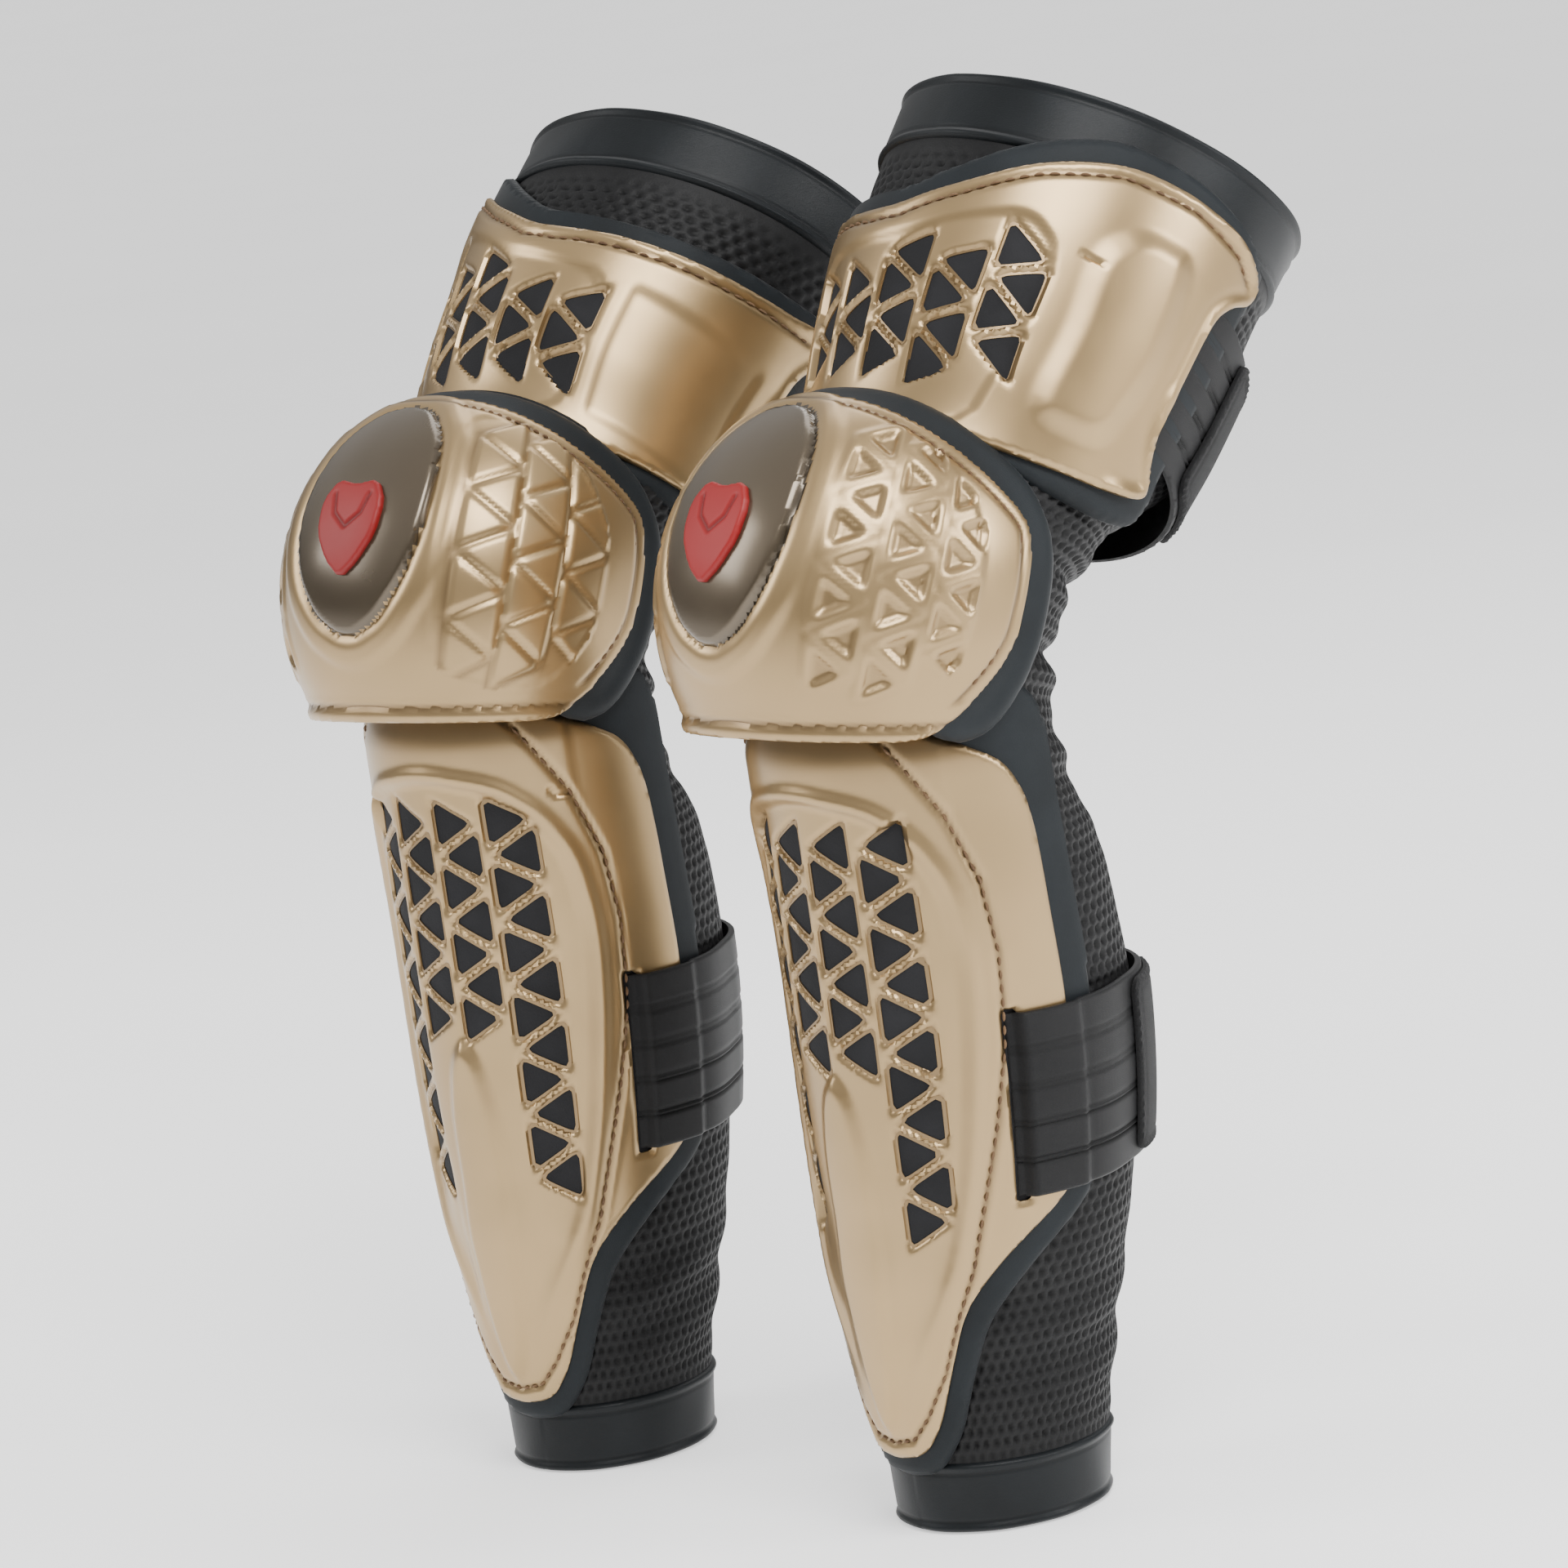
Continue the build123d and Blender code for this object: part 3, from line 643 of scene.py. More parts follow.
def shin_plate(guard):
    """The long bronze plate over the shin, with its vents, keel and strap slots."""
    def outline(u, v):
        plate = np.maximum(inside_polygon(u, v, SHIN_OUTLINE), -slot_distance(u, v))
        return cut_by(plate, u, v, SHIN_CELLS, SHIN_VENT)

    def outer(u, v, d):
        holes = cell_distance(u, v, SHIN_CELLS, SHIN_VENT)
        field = inside_polygon(u, v, SHIN_FIELD)
        keel = inside_polygon(u, v, KEEL)
        seam, _ = line_distance(np.abs(u), v, SHIN_GROOVE)
        off = np.full_like(u, SHELL_OUT)
        off -= 1.7 * smoothstep(-field / 5.0) * smoothstep((v - 92) / 30)
        off += 1.4 * smoothstep((5 + field) / 5) * smoothstep((5 - field) / 5) * smoothstep((v - 60) / 40)
        off += 2.6 * smoothstep(-keel / 6.0)
        off -= 1.5 * smoothstep(-field / 10.0) * smoothstep(keel / 8.0) * smoothstep((130 - v) / 50)
        off -= groove(seam, 1.3, 1.3)
        border = np.interp(v, [30, 62, 100, 150, 214, 265], [12, 33, 48, 60, 66, 56])
        off -= 0.7 * smoothstep((np.abs(u) - border) / 4)
        off -= rim_drop(-np.clip(holes, 0, 2.6), 2.6)
        off -= rim_drop(d, 1.1)
        off -= tuck(v)
        # painted shading in the seam groove and round the vent holes
        painted_shade = 0.8 * np.exp(-(seam / 0.9) ** 2) + 0.35 * smoothstep((2.0 - holes) / 2.0)
        # painted shadow of the knee cup over the plate's top, above 276 mm
        painted_shade = np.maximum(painted_shade, 0.55 * smoothstep((v - 276) / 18))
        return off, np.clip(painted_shade, 0, 1)

    piece = slab(f"{guard.side}_shin_plate", guard, shin_surface, (-96, 96, 18, 310), STEP, outline, outer,
                 lambda u, v, d: SHELL_IN - tuck(v), BRONZE)
    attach(piece, f"{guard.side}_shin")
    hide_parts(f"{guard.side}_shin_shell")
    for name, mirrored in (("outer", 1), ("inner", -1)):
        path = resample([(mirrored * u, v) for u, v in SHIN_GROOVE], 1.5)
        thread = stitches(f"{guard.side}_shin_stitches_{name}", guard, shin_surface, path,
                          SHELL_OUT - SEAM_THREAD, THREAD_BROWN)
        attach(thread, f"{guard.side}_shin")


# ==== thigh plate ====
OUTER_PLATE = [(0, 42), (30, 45), (60, 51), (84, 58), (98, 64), (103, 69), (99, 80), (97, 90), (97, 134),
               (101, 144), (108, 151), (108, 160), (98, 166), (80, 167), (58, 162), (38, 149), (20, 133),
               (0, 121)]
INNER_PLATE = [(-14, 120), (-40, 123), (-66, 127), (-84, 132), (-98, 138), (-102, 134), (-100, 128),
               (-96, 120), (-94, 112), (-94, 78), (-96, 70), (-99, 62), (-94, 56), (-78, 52), (-50, 46),
               (-20, 42)]
THIGH_OUTLINE = rounded(arc(OUTER_PLATE + INNER_PLATE, THIGH_ARC), 3)
THIGH_GROOVE = arc([(-92, 129), (-82, 126), (-64, 122), (-40, 118), (-10, 115), (2, 116.5), (20, 128),
                    (38, 143.5), (58, 156.5), (79, 161.5), (96, 160.5), (103, 156)], THIGH_ARC)
THIGH_WINDOW = rounded(arc([(-34, 44), (-34, 106), (-10, 109), (6, 112), (22, 122), (40, 132), (52, 122),
                            (50, 84), (40, 44)], THIGH_ARC), 2)
BULGE = rounded(arc([(54, 60), (58, 96), (56, 128), (66, 146), (86, 150), (90, 100), (84, 66)], THIGH_ARC), 2)
THIGH_VENT = 10.0


def thigh_cell(across, height):
    return -40 < across < 56 and 58 < height < 103 + max(across, 0) * 0.34 and (across < 40 or height > 74)


THIGH_CELLS = lattice([-1.5, -0.5, 0.5, 1.5, 2.5], 56.0, 128.0, 24.0, thigh_cell)


def thigh_plate(guard):
    """The bronze plate round the front of the thigh, with its window of vents and outer swelling."""
    surface = thigh_surface(guard.bend)

    def outline(u, v):
        return cut_by(inside_polygon(u, v, THIGH_OUTLINE), u, v, THIGH_CELLS, THIGH_VENT)

    def outer(u, v, d):
        holes = cell_distance(u, v, THIGH_CELLS, THIGH_VENT)
        rim = inside_polygon(u, v, THIGH_OUTLINE)
        window = inside_polygon(u, v, THIGH_WINDOW)
        bulge = inside_polygon(u, v, BULGE)
        seam, _ = line_distance(u, v, THIGH_GROOVE)
        off = np.full_like(u, SHELL_OUT)
        off -= 1.4 * smoothstep(-window / 4.0)
        off += 2.2 * smoothstep(-bulge / 10.0)
        panel = smoothstep((-u - 46) / 4) * smoothstep((v - 52) / 6) * smoothstep((108 - v) / 6)
        off -= 0.9 * panel * smoothstep((u + 104) / 4)
        off -= groove(seam, 1.2, 1.1)
        off -= 0.6 * smoothstep((6.5 + rim) / 3) * smoothstep((v - 100) / 8)
        off += 1.8 * smoothstep((6 + rim) / 6) * smoothstep((np.abs(u) - 100) / 14)
        off -= rim_drop(-np.clip(holes, 0, 2.4), 2.4)
        off -= rim_drop(d, 1.1)
        # painted shading in the seam groove and round the vent holes
        painted_shade = 0.8 * np.exp(-(seam / 0.9) ** 2) + 0.35 * smoothstep((2.0 - holes) / 2.0)
        return off, np.clip(painted_shade, 0, 1)

    piece = slab(f"{guard.side}_thigh_plate", guard, surface, (-142, 146, 38, 172), STEP, outline, outer,
                 level(SHELL_IN), BRONZE)
    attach(piece, f"{guard.side}_thigh")
    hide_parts(f"{guard.side}_thigh_shell")
    thread = stitches(f"{guard.side}_thigh_stitches", guard, surface, resample(THIGH_GROOVE, 1.5),
                      SHELL_OUT - SEAM_THREAD, THREAD_BROWN)
    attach(thread, f"{guard.side}_thigh")


# ==== knee cup ====
CUP_OUTLINE = rounded([(-110, -77), (-50, -61), (-12, -50), (6, -15), (7, 10), (5, 30), (-2, 37), (-48, 64),
                       (-110, 100)], 2)
OVAL = rounded(both_sides([(0, 62), (16, 58), (27, 44), (31, 24), (30, 4), (25, -14), (16, -28), (6, -34),
                           (0, -35)]), 2)
CUP_CELL, CUP_SEAM, CUP_IN = 9.6, 5.5, -3.0
BADGE = rounded(both_sides([(0, -14), (7, -8), (13, 2), (14, 14), (9, 22), (0, 20)]), 1)


def cup_side(u, v):
    """The cup's side view at (u, v)."""
    p = cup_local(u, v, np.zeros_like(u))
    return p[..., 1], p[..., 2]


def cup_cell(across, height):
    return 34 < across < 106 and -44 + abs(across - 60) * 0.3 < height < 62 - abs(across - 62) * 0.5


CUP_CELLS = lattice([1.5, 2.5, 3.5, 4.5], -50.0, 66.0, 24.5, cup_cell)
CUP_PANEL = rounded([(32, 58), (34, 8), (36, -44), (62, -50), (92, -46), (106, -20), (106, 20), (92, 44),
                     (58, 62)], 2)


def cup(guard):
    """The knee cup: a raised oval front in a darker bronze that is a painted dark reflection, with the badge,
    pockets on its outer side and cobbles inside.
    """
    def outline(u, v):
        y, z = cup_side(u, v)
        return inside_polygon(y, z, CUP_OUTLINE)

    def outer(u, v, d):
        y, z = cup_side(u, v)
        oval = inside_polygon(u, v, OVAL)
        panel = inside_polygon(np.abs(u), v, CUP_PANEL)
        bottom = (z + 50.0) * 0.962 - (y + 12) * 0.272      # height over the bottom edge
        off = np.zeros_like(u)
        off += 1.6 * smoothstep(-oval / 2.2) - 0.9 * groove(oval + 0.2, 1.0, 1.0)
        off += 1.1 * smoothstep((7 - np.abs(oval - 7)) / 5) * (oval > 0)
        cells = np.where(panel < 0, cell_distance(np.abs(u), v, CUP_CELLS, CUP_CELL), OUTSIDE)
        inner_side = u < 0
        within = smoothstep(-panel / 3.0)
        cobbles = 1.2 * smoothstep((2.4 - cells) / 2.2) - 0.5 * within
        pockets = -2.1 * smoothstep(-cells / 2.4) + 0.7 * smoothstep((4.2 - cells) / 3.0) * within
        off += np.where(inner_side, cobbles, pockets)
        seam = np.abs(d + CUP_SEAM)
        stitched = smoothstep((bottom - 10) / 4)
        off -= groove(seam, 1.2, 1.1) * stitched
        off -= 0.6 * smoothstep((CUP_SEAM + d) / 2) * stitched
        off += 2.6 * smoothstep((9 - bottom) / 8) - 1.3 * np.exp(-((bottom - 5.0) / 1.1) ** 2)
        off -= rim_drop(d, 1.3)
        # painted shading in the seam groove, the groove over the bottom edge, round the oval, in the outer
        # pockets and between the inner cobbles
        painted_shade = 0.8 * np.exp(-(seam / 0.9) ** 2) * stitched + 0.6 * np.exp(-((bottom - 5.0) / 1.0) ** 2)
        painted_shade += 0.45 * np.exp(-(oval / 0.9) ** 2) + 0.20 * smoothstep(-cells / 3.0) * ~inner_side
        painted_shade += 0.45 * np.exp(-((cells - 3.2) / 1.1) ** 2) * (panel < 0) * inner_side
        return off, np.clip(painted_shade, 0, 1)

    # the raised oval takes the darker bronze, a painted dark reflection
    piece = slab(f"{guard.side}_knee_cup", guard, cup_surface, (-142, 142, -84, 96), STEP, outline, outer,
                 level(CUP_IN), [BRONZE, BRONZE_DARK_REFLECTION],
                 pick=lambda u, v: inside_polygon(u, v, OVAL) < 0.4)
    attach(piece, f"{guard.side}_cup")
    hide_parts(f"{guard.side}_knee_cup_shell")

    def seam_line(columns, v, end):
        """Points of the seam inside the rim: the last or the first row of each column within it."""
        line = []
        for u in columns:
            within = np.where(outline(np.full_like(v, u), v) < -CUP_SEAM)[0]
            if len(within):
                line.append((u, v[within[end]]))
        return line

    rim = seam_line(np.arange(-128, 128.5, 2.0), np.linspace(-20, 96, 500), -1)
    low_rim = seam_line((128.0, 126.0, 124.0, 120.0, 116.0, 112.0), np.linspace(-70, 10, 400), 0)
    path = [(-u, v) for u, v in reversed(low_rim)] + rim + low_rim
    thread = stitches(f"{guard.side}_cup_stitches", guard, cup_surface, resample(path, 1.5), -SEAM_THREAD,
                      THREAD_BROWN)
    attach(thread, f"{guard.side}_cup")

    def badge_top(u, v, d):
        ridge = line_distance(np.abs(u), v, [(0, 4), (6, 9), (8, 16)])[0]
        # the ridge groove of the badge gets painted shading
        return 4.2 - rim_drop(d, 1.2) - groove(ridge, 0.8, 0.8), 0.6 * np.exp(-(ridge / 0.7) ** 2)

    badge = slab(f"{guard.side}_badge", guard, cup_surface, (-17, 17, -18, 26), 0.6,
                 lambda u, v: inside_polygon(u, v, BADGE), badge_top, level(1.0), RED)
    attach(badge, f"{guard.side}_cup")
    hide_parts(f"{guard.side}_knee_cup_badge")


# ==== soft pieces ====
SLEEVE_STEP, SLEEVE_LOW, SLEEVE_THICK = 1.25, 22.0, 1.6
SLEEVE_ROUND = FULL_TURN * SHIN_ARC
DIMPLE_PITCH, DIMPLE_RADIUS, DIMPLE_DEPTH = 5.4, 2.05, 1.15
BLEND_REACH = 57.0                      # how far guard.knee_from and guard.knee_to lie from the knee axis
TOP_HALF_DEPTH = 74.0                   # half the thigh opening's depth, over which its rim slopes


def hex_distance(u, v, pitch):
    """Distance to the nearest point of a hexagonal lattice."""
    high = pitch * math.sqrt(3)
    best = np.full(u.shape, 1e3)
    for du, dv in ((0, 0), (pitch / 2, high / 2)):
        x = (u - du + pitch / 2) % pitch - pitch / 2
        y = (v - dv + high / 2) % high - high / 2
        best = np.minimum(best, np.hypot(x, y))
    return best


def wrinkles(u, v, rows):
    """Folds across the back of the knee and slack creases round the ankle, in mm."""
    angle = u / SHIN_ARC
    behind = smoothstep((np.abs(np.abs(angle) % FULL_TURN - math.pi) * -1 + 1.9) / 1.2)
    bend_middle = (rows.low + rows.high) / 2
    near = np.exp(-((v - bend_middle) / 62.0) ** 2)
    folds = np.sin(v * 0.21 + 1.4 * np.sin(angle * 2.3))
    folds += 0.6 * np.sin(v * 0.37 + 2.1 * np.sin(angle * 1.7 + 1))
    creases = np.sin(v * 0.24 + 2.2 * np.sin(angle * 1.2 + 0.4) + angle * 0.8)
    ankle = np.exp(-((v - 62) / 30.0) ** 2) * creases
    drift = np.sin(v * 0.045 + 2.0 * np.sin(angle * 1.1)) * 0.5
    return 1.9 * behind * near * folds + 1.0 * ankle + drift


def skin_area(piece, outer_faces):
    """The area of a tube's outer faces, which are its first ones, in square metres."""
    areas = np.empty(len(piece.data.polygons))
    piece.data.polygons.foreach_get("area", areas)
    return float(areas[:outer_faces].sum())


def closed_tube(name, guard, skin, back, painted_shade, back_painted_shade, material, sharp):
    """A tube of cloth from its two skins, grids of points that close on themselves along the first axis."""
    n, m = skin.shape[:2]
    count = n * m
    number = np.arange(count).reshape(n, m)
    right = np.roll(number, -1, axis=0)
    quads = np.stack([number[:, :-1], right[:, :-1], right[:, 1:], number[:, 1:]], -1).reshape(-1, 4)
    ends_low = np.stack([number[:, 0], number[:, 0] + count, right[:, 0] + count, right[:, 0]], -1)
    ends_high = np.stack([number[:, -1], right[:, -1], right[:, -1] + count, number[:, -1] + count], -1)
    faces = np.concatenate([quads, quads[:, ::-1] + count, ends_low, ends_high]).tolist()
    points = np.concatenate([skin.reshape(-1, 3), back.reshape(-1, 3)])
    outward = np.concatenate([(skin - back).reshape(-1, 3)] * 2)
    # the back skin gets painted shading at its own fixed strength
    painted_shades = np.concatenate([painted_shade.ravel(), np.full(count, back_painted_shade)])
    piece = mesh_object(f"{guard.side}_{name}", points, faces, material, painted_shades,
                        turned_out(points, quads.tolist(), outward), sharp)
    return piece, len(quads)


def sleeve(guard, rows):
    """The dimpled mesh tube of the whole leg, which bends at the knee."""
    u = np.linspace(0, SLEEVE_ROUND, round(SLEEVE_ROUND / SLEEVE_STEP), endpoint=False)
    v = np.arange(SLEEVE_LOW, rows.end + 1.5, SLEEVE_STEP)
    uu, vv = np.meshgrid(u, v, indexing="ij")
    pitch = SLEEVE_ROUND / round(SLEEVE_ROUND / DIMPLE_PITCH)
    dent = smoothstep((DIMPLE_RADIUS - hex_distance(uu, vv, pitch)) / 1.2)
    ends = smoothstep((vv - SLEEVE_LOW) / 10) * smoothstep((rows.end - vv) / 12.0)
    off = -0.4 + (wrinkles(uu, vv, rows) - DIMPLE_DEPTH * dent) * ends
    tilt = -TOP_SLOPE * TOP_HALF_DEPTH * np.cos(uu / SHIN_ARC)
    lift = smoothstep((vv - rows.high) / (rows.end - rows.high)) * tilt
    skin = guard.place(rows.surface(uu, vv + lift, off))
    inner = guard.place(rows.surface(uu, vv + lift, np.minimum(off, 0) - SLEEVE_THICK))
    # painted shading in each dimple, as deep as the dimple
    piece, outer_faces = closed_tube("mesh_sleeve", guard, skin, inner, dent * ends, 0.4, MESH, 80)
    up = np.array([0, math.sin(guard.bend / 2), math.cos(guard.bend / 2)]) * BLEND_REACH
    knee = np.array([0, KNEE_Y, KNEE_Z])
    guard.knee_from, guard.knee_to = guard.place(knee - up), guard.place(knee + up)
    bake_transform(piece)
    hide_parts(*(f"{guard.side}_{name}" for name in ("shin_sleeve", "knee_sleeve", "thigh_sleeve")))
    area = skin_area(piece, outer_faces)


def cuff(guard, name, surface, low, high, tilt, body, node):
    """An elastic band with a rolled hem and a fold line, closed round the leg."""
    arc_radius = SHIN_ARC if body.endswith("shin") else THIGH_ARC
    around = 260
    u = np.linspace(0, FULL_TURN * arc_radius, around, endpoint=False)
    t = np.linspace(0, 1, 34)
    uu, tt = np.meshgrid(u, t, indexing="ij")
    drop = tilt * -np.cos(uu / arc_radius)
    vv = low + (high - low) * tt + drop
    edge = np.minimum(tt, 1 - tt) * (high - low)
    roll = 0.9 * np.exp(-((edge - 1.6) / 1.1) ** 2)
    ripple = 0.25 * np.sin(uu * 0.12 + 3 * tt) * np.sin(uu * 0.05 + 1)
    out = 0.7 + roll + ripple - rim_drop(-np.clip(edge, 0, 1.0), 1.0)
    seam = groove(np.abs(edge - 4.0), 0.5, 0.35)
    skin = guard.place(surface(uu, vv, out - seam))
    back = guard.place(surface(uu, vv, -1.7 + 0 * out))
    # painted shading along the sunk fold line
    painted_shade = 0.6 * np.exp(-((edge - 4.0) / 0.5) ** 2)
    piece, _ = closed_tube(name, guard, skin, back, painted_shade, 0.2, BAND, 70)
    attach(piece, body)
    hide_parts(f"{guard.side}_{node}")


PAD_OUT, PAD_IN, PAD_SINK, PAD_STEP, PAD_EDGE = 4.5, 0.4, 3.0, 2.0, 2.6
KNEE_PAD_OUT, KNEE_PAD_IN, KNEE_PAD_SINK = -3.4, -8.5, 2.2
KNEE_PAD_OUTLINE = rounded([(-110, 30), (-60, 20), (-34, -20), (-24, -50), (0, -54), (15, -44), (23, -14),
                            (23, 30), (9, 52), (-44, 80), (-110, 117)], 2)


SHIN_PAD = rounded(both_sides(arc([(0, 21), (20, 23), (34, 38), (42, 60), (50, 80), (66, 97), (90, 117),
                                   (96, 130), (97, 262), (97, 296), (84, 311), (40, 314), (0, 314)],
                                  SHIN_ARC)), 3)
THIGH_PAD = rounded(arc([(0, 38), (40, 42), (88, 50), (106, 58), (112, 70), (112, 156), (114, 166),
                         (104, 173), (80, 175), (54, 171), (34, 158), (16, 142), (0, 130), (-20, 129),
                         (-50, 132), (-80, 138), (-100, 145), (-110, 142), (-110, 62), (-100, 52),
                         (-80, 45), (-40, 39)], THIGH_ARC), 3)


def pads(guard):
    """The neoprene backings, which stand out round the plates as a soft border."""
    def backing(plate):
        """Full at the border round the plate and sunk where it lies behind the vents, with painted shading
        there so that the vents look deep and a little along its rim.
        """
        def out(u, v, d):
            under = smoothstep((-6 - inside_polygon(u, v, plate)) / 3)
            # painted shading under the plate's vents and near the rim
            painted_shade = np.clip(0.25 * smoothstep((4 + d) / 4) + under, 0, 1)
            return PAD_OUT - rim_drop(d, PAD_EDGE) - PAD_SINK * under, painted_shade
        return out

    for part, surface, box, shape, plate in (
            ("shin", shin_surface, (-112, 112, 8, 316), SHIN_PAD, SHIN_OUTLINE),
            ("thigh", thigh_surface(guard.bend), (-146, 150, 32, 180), THIGH_PAD, THIGH_OUTLINE)):
        piece = slab(f"{guard.side}_{part}_backing", guard, surface, box, PAD_STEP,
                     lambda u, v: inside_polygon(u, v, shape), backing(plate), level(PAD_IN), NEOPRENE)
        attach(piece, f"{guard.side}_{part}")
        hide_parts(f"{guard.side}_{part}_pad")


def knee_pad(guard):
    """The puffed neoprene pad round the cup, with its bound top edge."""
    def outline(u, v):
        return inside_polygon(*cup_side(u, v), KNEE_PAD_OUTLINE)

    def out(u, v, d):
        covered = smoothstep(-(inside_polygon(*cup_side(u, v), CUP_OUTLINE) + 1) / 5)
        roll = 1.2 * np.exp(-((d + 6) / 4.0) ** 2) * (1 - covered)
        off = KNEE_PAD_OUT - rim_drop(d, 3.0) + roll - KNEE_PAD_SINK * covered
        # painted shading near the pad's rim
        return off, 0.3 * smoothstep((4 + d) / 4)

    piece = slab(f"{guard.side}_knee_backing", guard, cup_surface, (-164, 164, -84, 112), PAD_STEP,
                 outline, out, level(KNEE_PAD_IN), NEOPRENE)
    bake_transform(piece)
    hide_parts(f"{guard.side}_knee_pad")
    top = []
    for u in np.linspace(-122, 122, 150):
        v = np.linspace(0, 112, 400)
        inside = np.where(outline(np.full_like(v, u), v) < 0)[0]
        top.append((u, v[inside[-1]]))
    binding = tube(f"{guard.side}_knee_binding", guard, cup_surface, top, -6.2, 2.8, TAPE, squash=1.15)
    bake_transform(binding)
    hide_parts(f"{guard.side}_knee_pad_binding")


# ==== straps ====
STRAP_LINES = np.array([0.2, 0.4, 0.6, 0.8])
STRAP_THICK, STRAP_STEP, TAB_THICK, TAB_INSET = 2.2, 0.95, 2.2, 2


def strap(guard, part, leg, surface, radius, low_edge, width, off, ends, tab_ends, boxes, stretch, lift):
    """A ribbed elastic strap behind the leg and its hook tab.

    off(u) is how far out it lies, ends and tab_ends are degrees round the leg, and stretch makes up
    for the leg's real girth. lift is from the strap's inner face to the tab's."""
    def outline(u, v, start, end, inset):
        """How far a point is past the ends and past the edges."""
        angle, above = np.degrees(u / radius), v - low_edge(u)
        return (np.maximum(start - angle, angle - end) * stretch,
                np.maximum(inset - above, above - width + inset))

    def strap_outline(u, v):
        return np.maximum(*outline(u, v, *ends, 0))

    def strap_skin(u, v, d):
        """Bands of webbing between double sunk lines."""
        across = (v - low_edge(u)) / width
        near = np.min(np.abs(across[..., None] - STRAP_LINES), axis=-1) * width
        sunk = 0.85 * np.exp(-((near - 1.0) / 0.5) ** 2)
        skin = off(u) + STRAP_THICK - sunk + 0.06 * np.sin(u * 3.2) - rim_drop(d, 0.7)
        # the sunk lines get painted shading as deep as they are sunk
        return skin, np.clip(sunk * 1.2, 0, 1)

    def tab_outline(u, v, corner=6.0):
        x, y = outline(u, v, *tab_ends, TAB_INSET)
        round_corner = np.hypot(np.maximum(x + corner, 0), np.maximum(y + corner, 0)) - corner
        return np.maximum(round_corner, np.maximum(x, y))

    def tab_skin(u, v, d):
        """Brushed hook tape with a sewn line near its edge."""
        fuzz = 0.25 * np.sin(u * 5.1 + 3 * np.sin(v * 1.7)) * smoothstep((5 + d) / 3)
        seam = np.abs(d + 4.0)
        skin = off(u) + lift + TAB_THICK - rim_drop(d, 0.8) + fuzz - groove(seam, 0.6, 0.4)
        # the sewn line gets painted shading
        return skin, 0.5 * np.exp(-(seam / 0.5) ** 2)

    piece = slab(f"{guard.side}_{part}_webbing", guard, surface, boxes[0], STRAP_STEP, strap_outline,
                 strap_skin, lambda u, v, d: off(u), WEB)
    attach(piece, f"{guard.side}_{leg}")
    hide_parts(f"{guard.side}_{part}_strap", f"{guard.side}_{part}_strap_loop_patch")
    tab = slab(f"{guard.side}_{part}_tab", guard, surface, boxes[1], STRAP_STEP, tab_outline,
               tab_skin, lambda u, v, d: off(u) + lift, HOOK)
    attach(tab, f"{guard.side}_{part}_tab")
    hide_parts(f"{guard.side}_{part}_strap_tab")


def calf_strap(guard):
    """From slot to slot of the shin plate, dipping through them."""
    def off(u):
        angle = np.degrees(u / SHIN_ARC)
        side = np.minimum(angle, 360 - angle)
        out = 2.0 + 4.0 * smoothstep((118 - side) / 30)
        return out + 2.1 * smoothstep((88 - side) / 4) - 4.6 * smoothstep((67.5 - side) / 4.0)

    strap(guard, "calf", "shin", shin_surface, SHIN_ARC, lambda u: 124.0 + 0 * u, 67.0, off,
          (62.0, 298.0), (116.5, 158), ((63, 314, 122, 193), (118, 170, 122, 193)), 1.05, 2.7)


def thigh_strap(guard):
    """From edge to edge of the thigh plate, lower behind, along the slope of the opening."""
    strap(guard, "thigh", "thigh", thigh_surface(guard.bend), THIGH_ARC,
          lambda u: 76.0 + 9.144 * np.sin(u / THIGH_ARC), 58.0, lambda u: 2.4 + 0 * u,
          (88, 272), (121, 160), ((106, 334, 62, 148), (144, 200, 60, 150)), 1.2, 2.6)


# ==== build ====
STEP = 1.3                              # grid of the hard plates
for side in ("left", "right"):
    one = Guard(side)
    leg = SleeveRows(one.bend, 1.5)
    sleeve(one, leg)
    shin_plate(one)
    thigh_plate(one)
    cup(one)
    pads(one)
    knee_pad(one)
    calf_strap(one)
    thigh_strap(one)
    cuff(one, "ankle_band", shin_surface, 0.0, ANKLE_BAND, 0.0, f"{side}_shin", "shin_cuff_band")
    cuff(one, "thigh_band", thigh_surface(one.bend), THIGH_TOP - THIGH_BAND, THIGH_TOP,
         TOP_SLOPE * TOP_HALF_DEPTH, f"{side}_thigh", "thigh_cuff_band")
    for node, material in (("shin_cuff_grip", SILICONE), ("thigh_cuff_grip", SILICONE),
                           ("shin_foam", FOAM), ("thigh_foam", FOAM), ("knee_protector_foam", FOAM)):
        mesh = frame["nodes"][f"{side}_{node}"].data
        mesh.materials.clear()
        mesh.materials.append(material)

# ==== floor, light and camera ====
CAMERA_AZIMUTH, CAMERA_RISE, CAMERA_ROLL = 45.0, 10.0, 7.0
CAMERA_DISTANCE = 2.4
KNEES = sum(Guard(side).knee for side in ("left", "right")) / 2
TARGET = KNEES + (0.002, 0.040, -0.078)
PIXELS_PER_METRE, IMAGE_WIDTH, SENSOR = 3300.0, 1920.0, 36.0


def floor():
    bpy.ops.mesh.primitive_plane_add(size=30.0, location=(0, 0, -0.0005))
    plane = bpy.context.object
    plane.name = "floor"
    m, nodes, links, shader = new_material("pale_floor")
    links.new(colour_by(nodes, links, noise(nodes, links, 3.0), (0.88, 0.88, 0.88), (0.92, 0.92, 0.92)),
              shader.inputs["Base Color"])
    shader.inputs["Roughness"].default_value = 0.9
    shader.inputs["Emission Color"].default_value = (1, 1, 1, 1)
    shader.inputs["Emission Strength"].default_value = 0.72
    plane.data.materials.append(m)


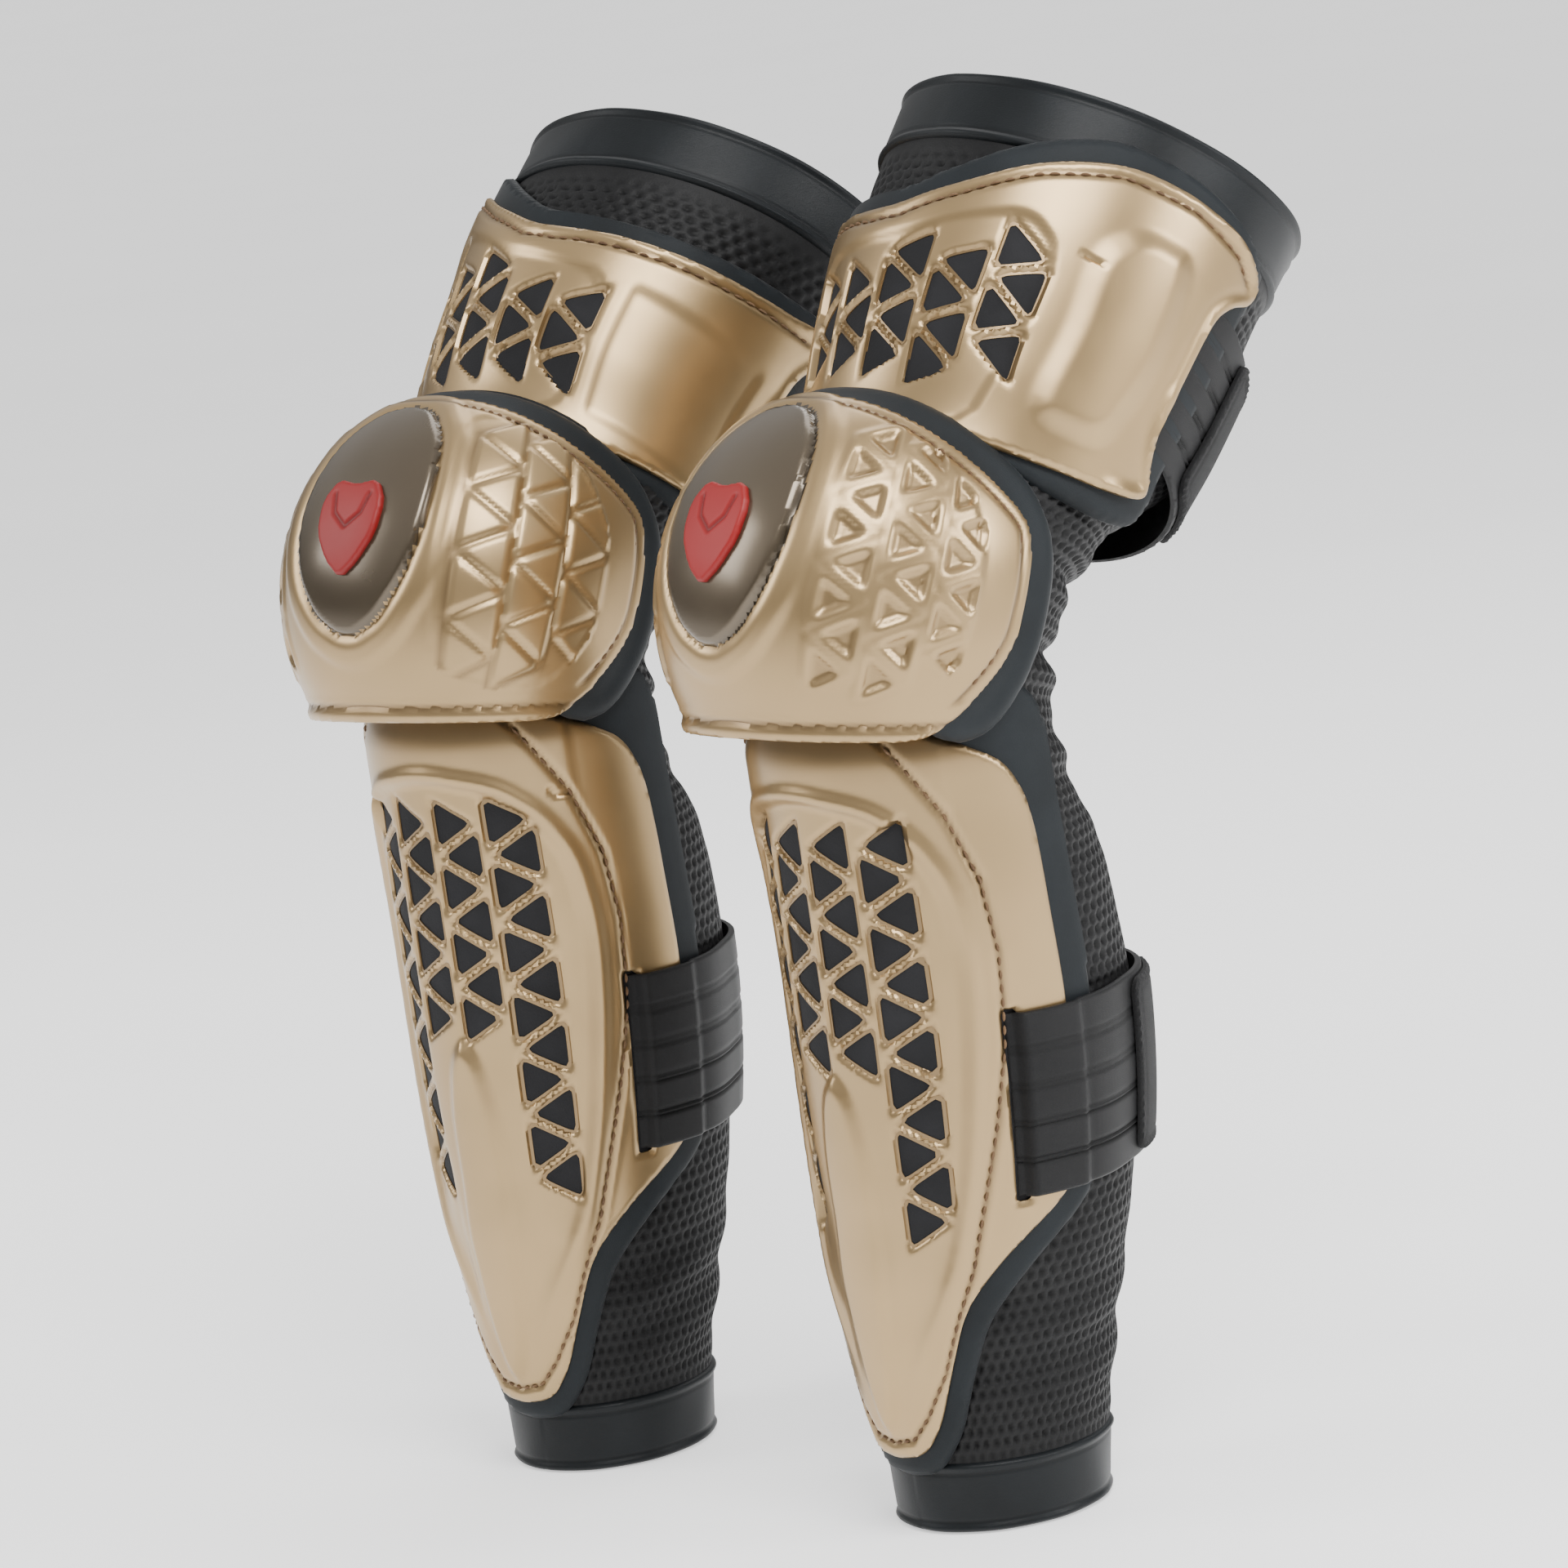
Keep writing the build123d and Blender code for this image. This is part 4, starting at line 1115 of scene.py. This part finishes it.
def area_light(name, azimuth, rise, distance, size, power):
    a, e = math.radians(azimuth), math.radians(rise)
    back = np.array([math.sin(a) * math.cos(e), -math.cos(a) * math.cos(e), math.sin(e)])
    light = bpy.data.lights.new(name, "AREA")
    light.energy, light.size = power, size
    lamp = bpy.data.objects.new(name, light)
    lamp.location = np.array(TARGET) + back * distance
    lamp.rotation_euler = Vector(-back).to_track_quat("-Z", "Y").to_euler()
    bpy.context.scene.collection.objects.link(lamp)


def camera():
    a, e = math.radians(CAMERA_AZIMUTH), math.radians(CAMERA_RISE)
    back = Vector((math.sin(a) * math.cos(e), -math.cos(a) * math.cos(e), math.sin(e)))
    data = bpy.data.cameras.new("camera")
    data.sensor_width = SENSOR
    data.lens = PIXELS_PER_METRE * CAMERA_DISTANCE / IMAGE_WIDTH * SENSOR
    cam = bpy.data.objects.new("camera", data)
    cam.location = Vector(TARGET) + back * CAMERA_DISTANCE
    turn = (-back).to_track_quat("-Z", "Y")
    cam.rotation_mode = "QUATERNION"
    cam.rotation_quaternion = turn @ Quaternion((0, 0, 1), math.radians(-CAMERA_ROLL))
    data.clip_start, data.clip_end = 0.05, 60.0
    bpy.context.scene.collection.objects.link(cam)
    bpy.context.scene.camera = cam


def world():
    """A soft studio: bright above, darker round the horizon so that the metal shows its shape."""
    w = bpy.data.worlds.new("studio")
    bpy.context.scene.world = w
    w.use_nodes = True
    nodes, links = w.node_tree.nodes, w.node_tree.links
    where = nodes.new("ShaderNodeTexCoord")
    parts = nodes.new("ShaderNodeSeparateXYZ")
    ramp = nodes.new("ShaderNodeValToRGB")
    ramp.color_ramp.elements[0].position, ramp.color_ramp.elements[1].position = 0.05, 0.55
    ramp.color_ramp.elements[0].color, ramp.color_ramp.elements[1].color = (0.10, 0.10, 0.10, 1), (1, 1, 1, 1)
    links.new(where.outputs["Generated"], parts.inputs["Vector"])
    links.new(parts.outputs["Z"], ramp.inputs["Fac"])
    links.new(ramp.outputs["Color"], nodes["Background"].inputs["Color"])
    nodes["Background"].inputs["Strength"].default_value = 0.75


floor()
world()
area_light("key", 62, 50, 1.8, 0.9, 32)
area_light("side", 112, 18, 1.8, 0.6, 16)
area_light("rim", -45, 30, 2.0, 0.8, 14)
area_light("behind", 200, 50, 2.0, 1.4, 18)
camera()
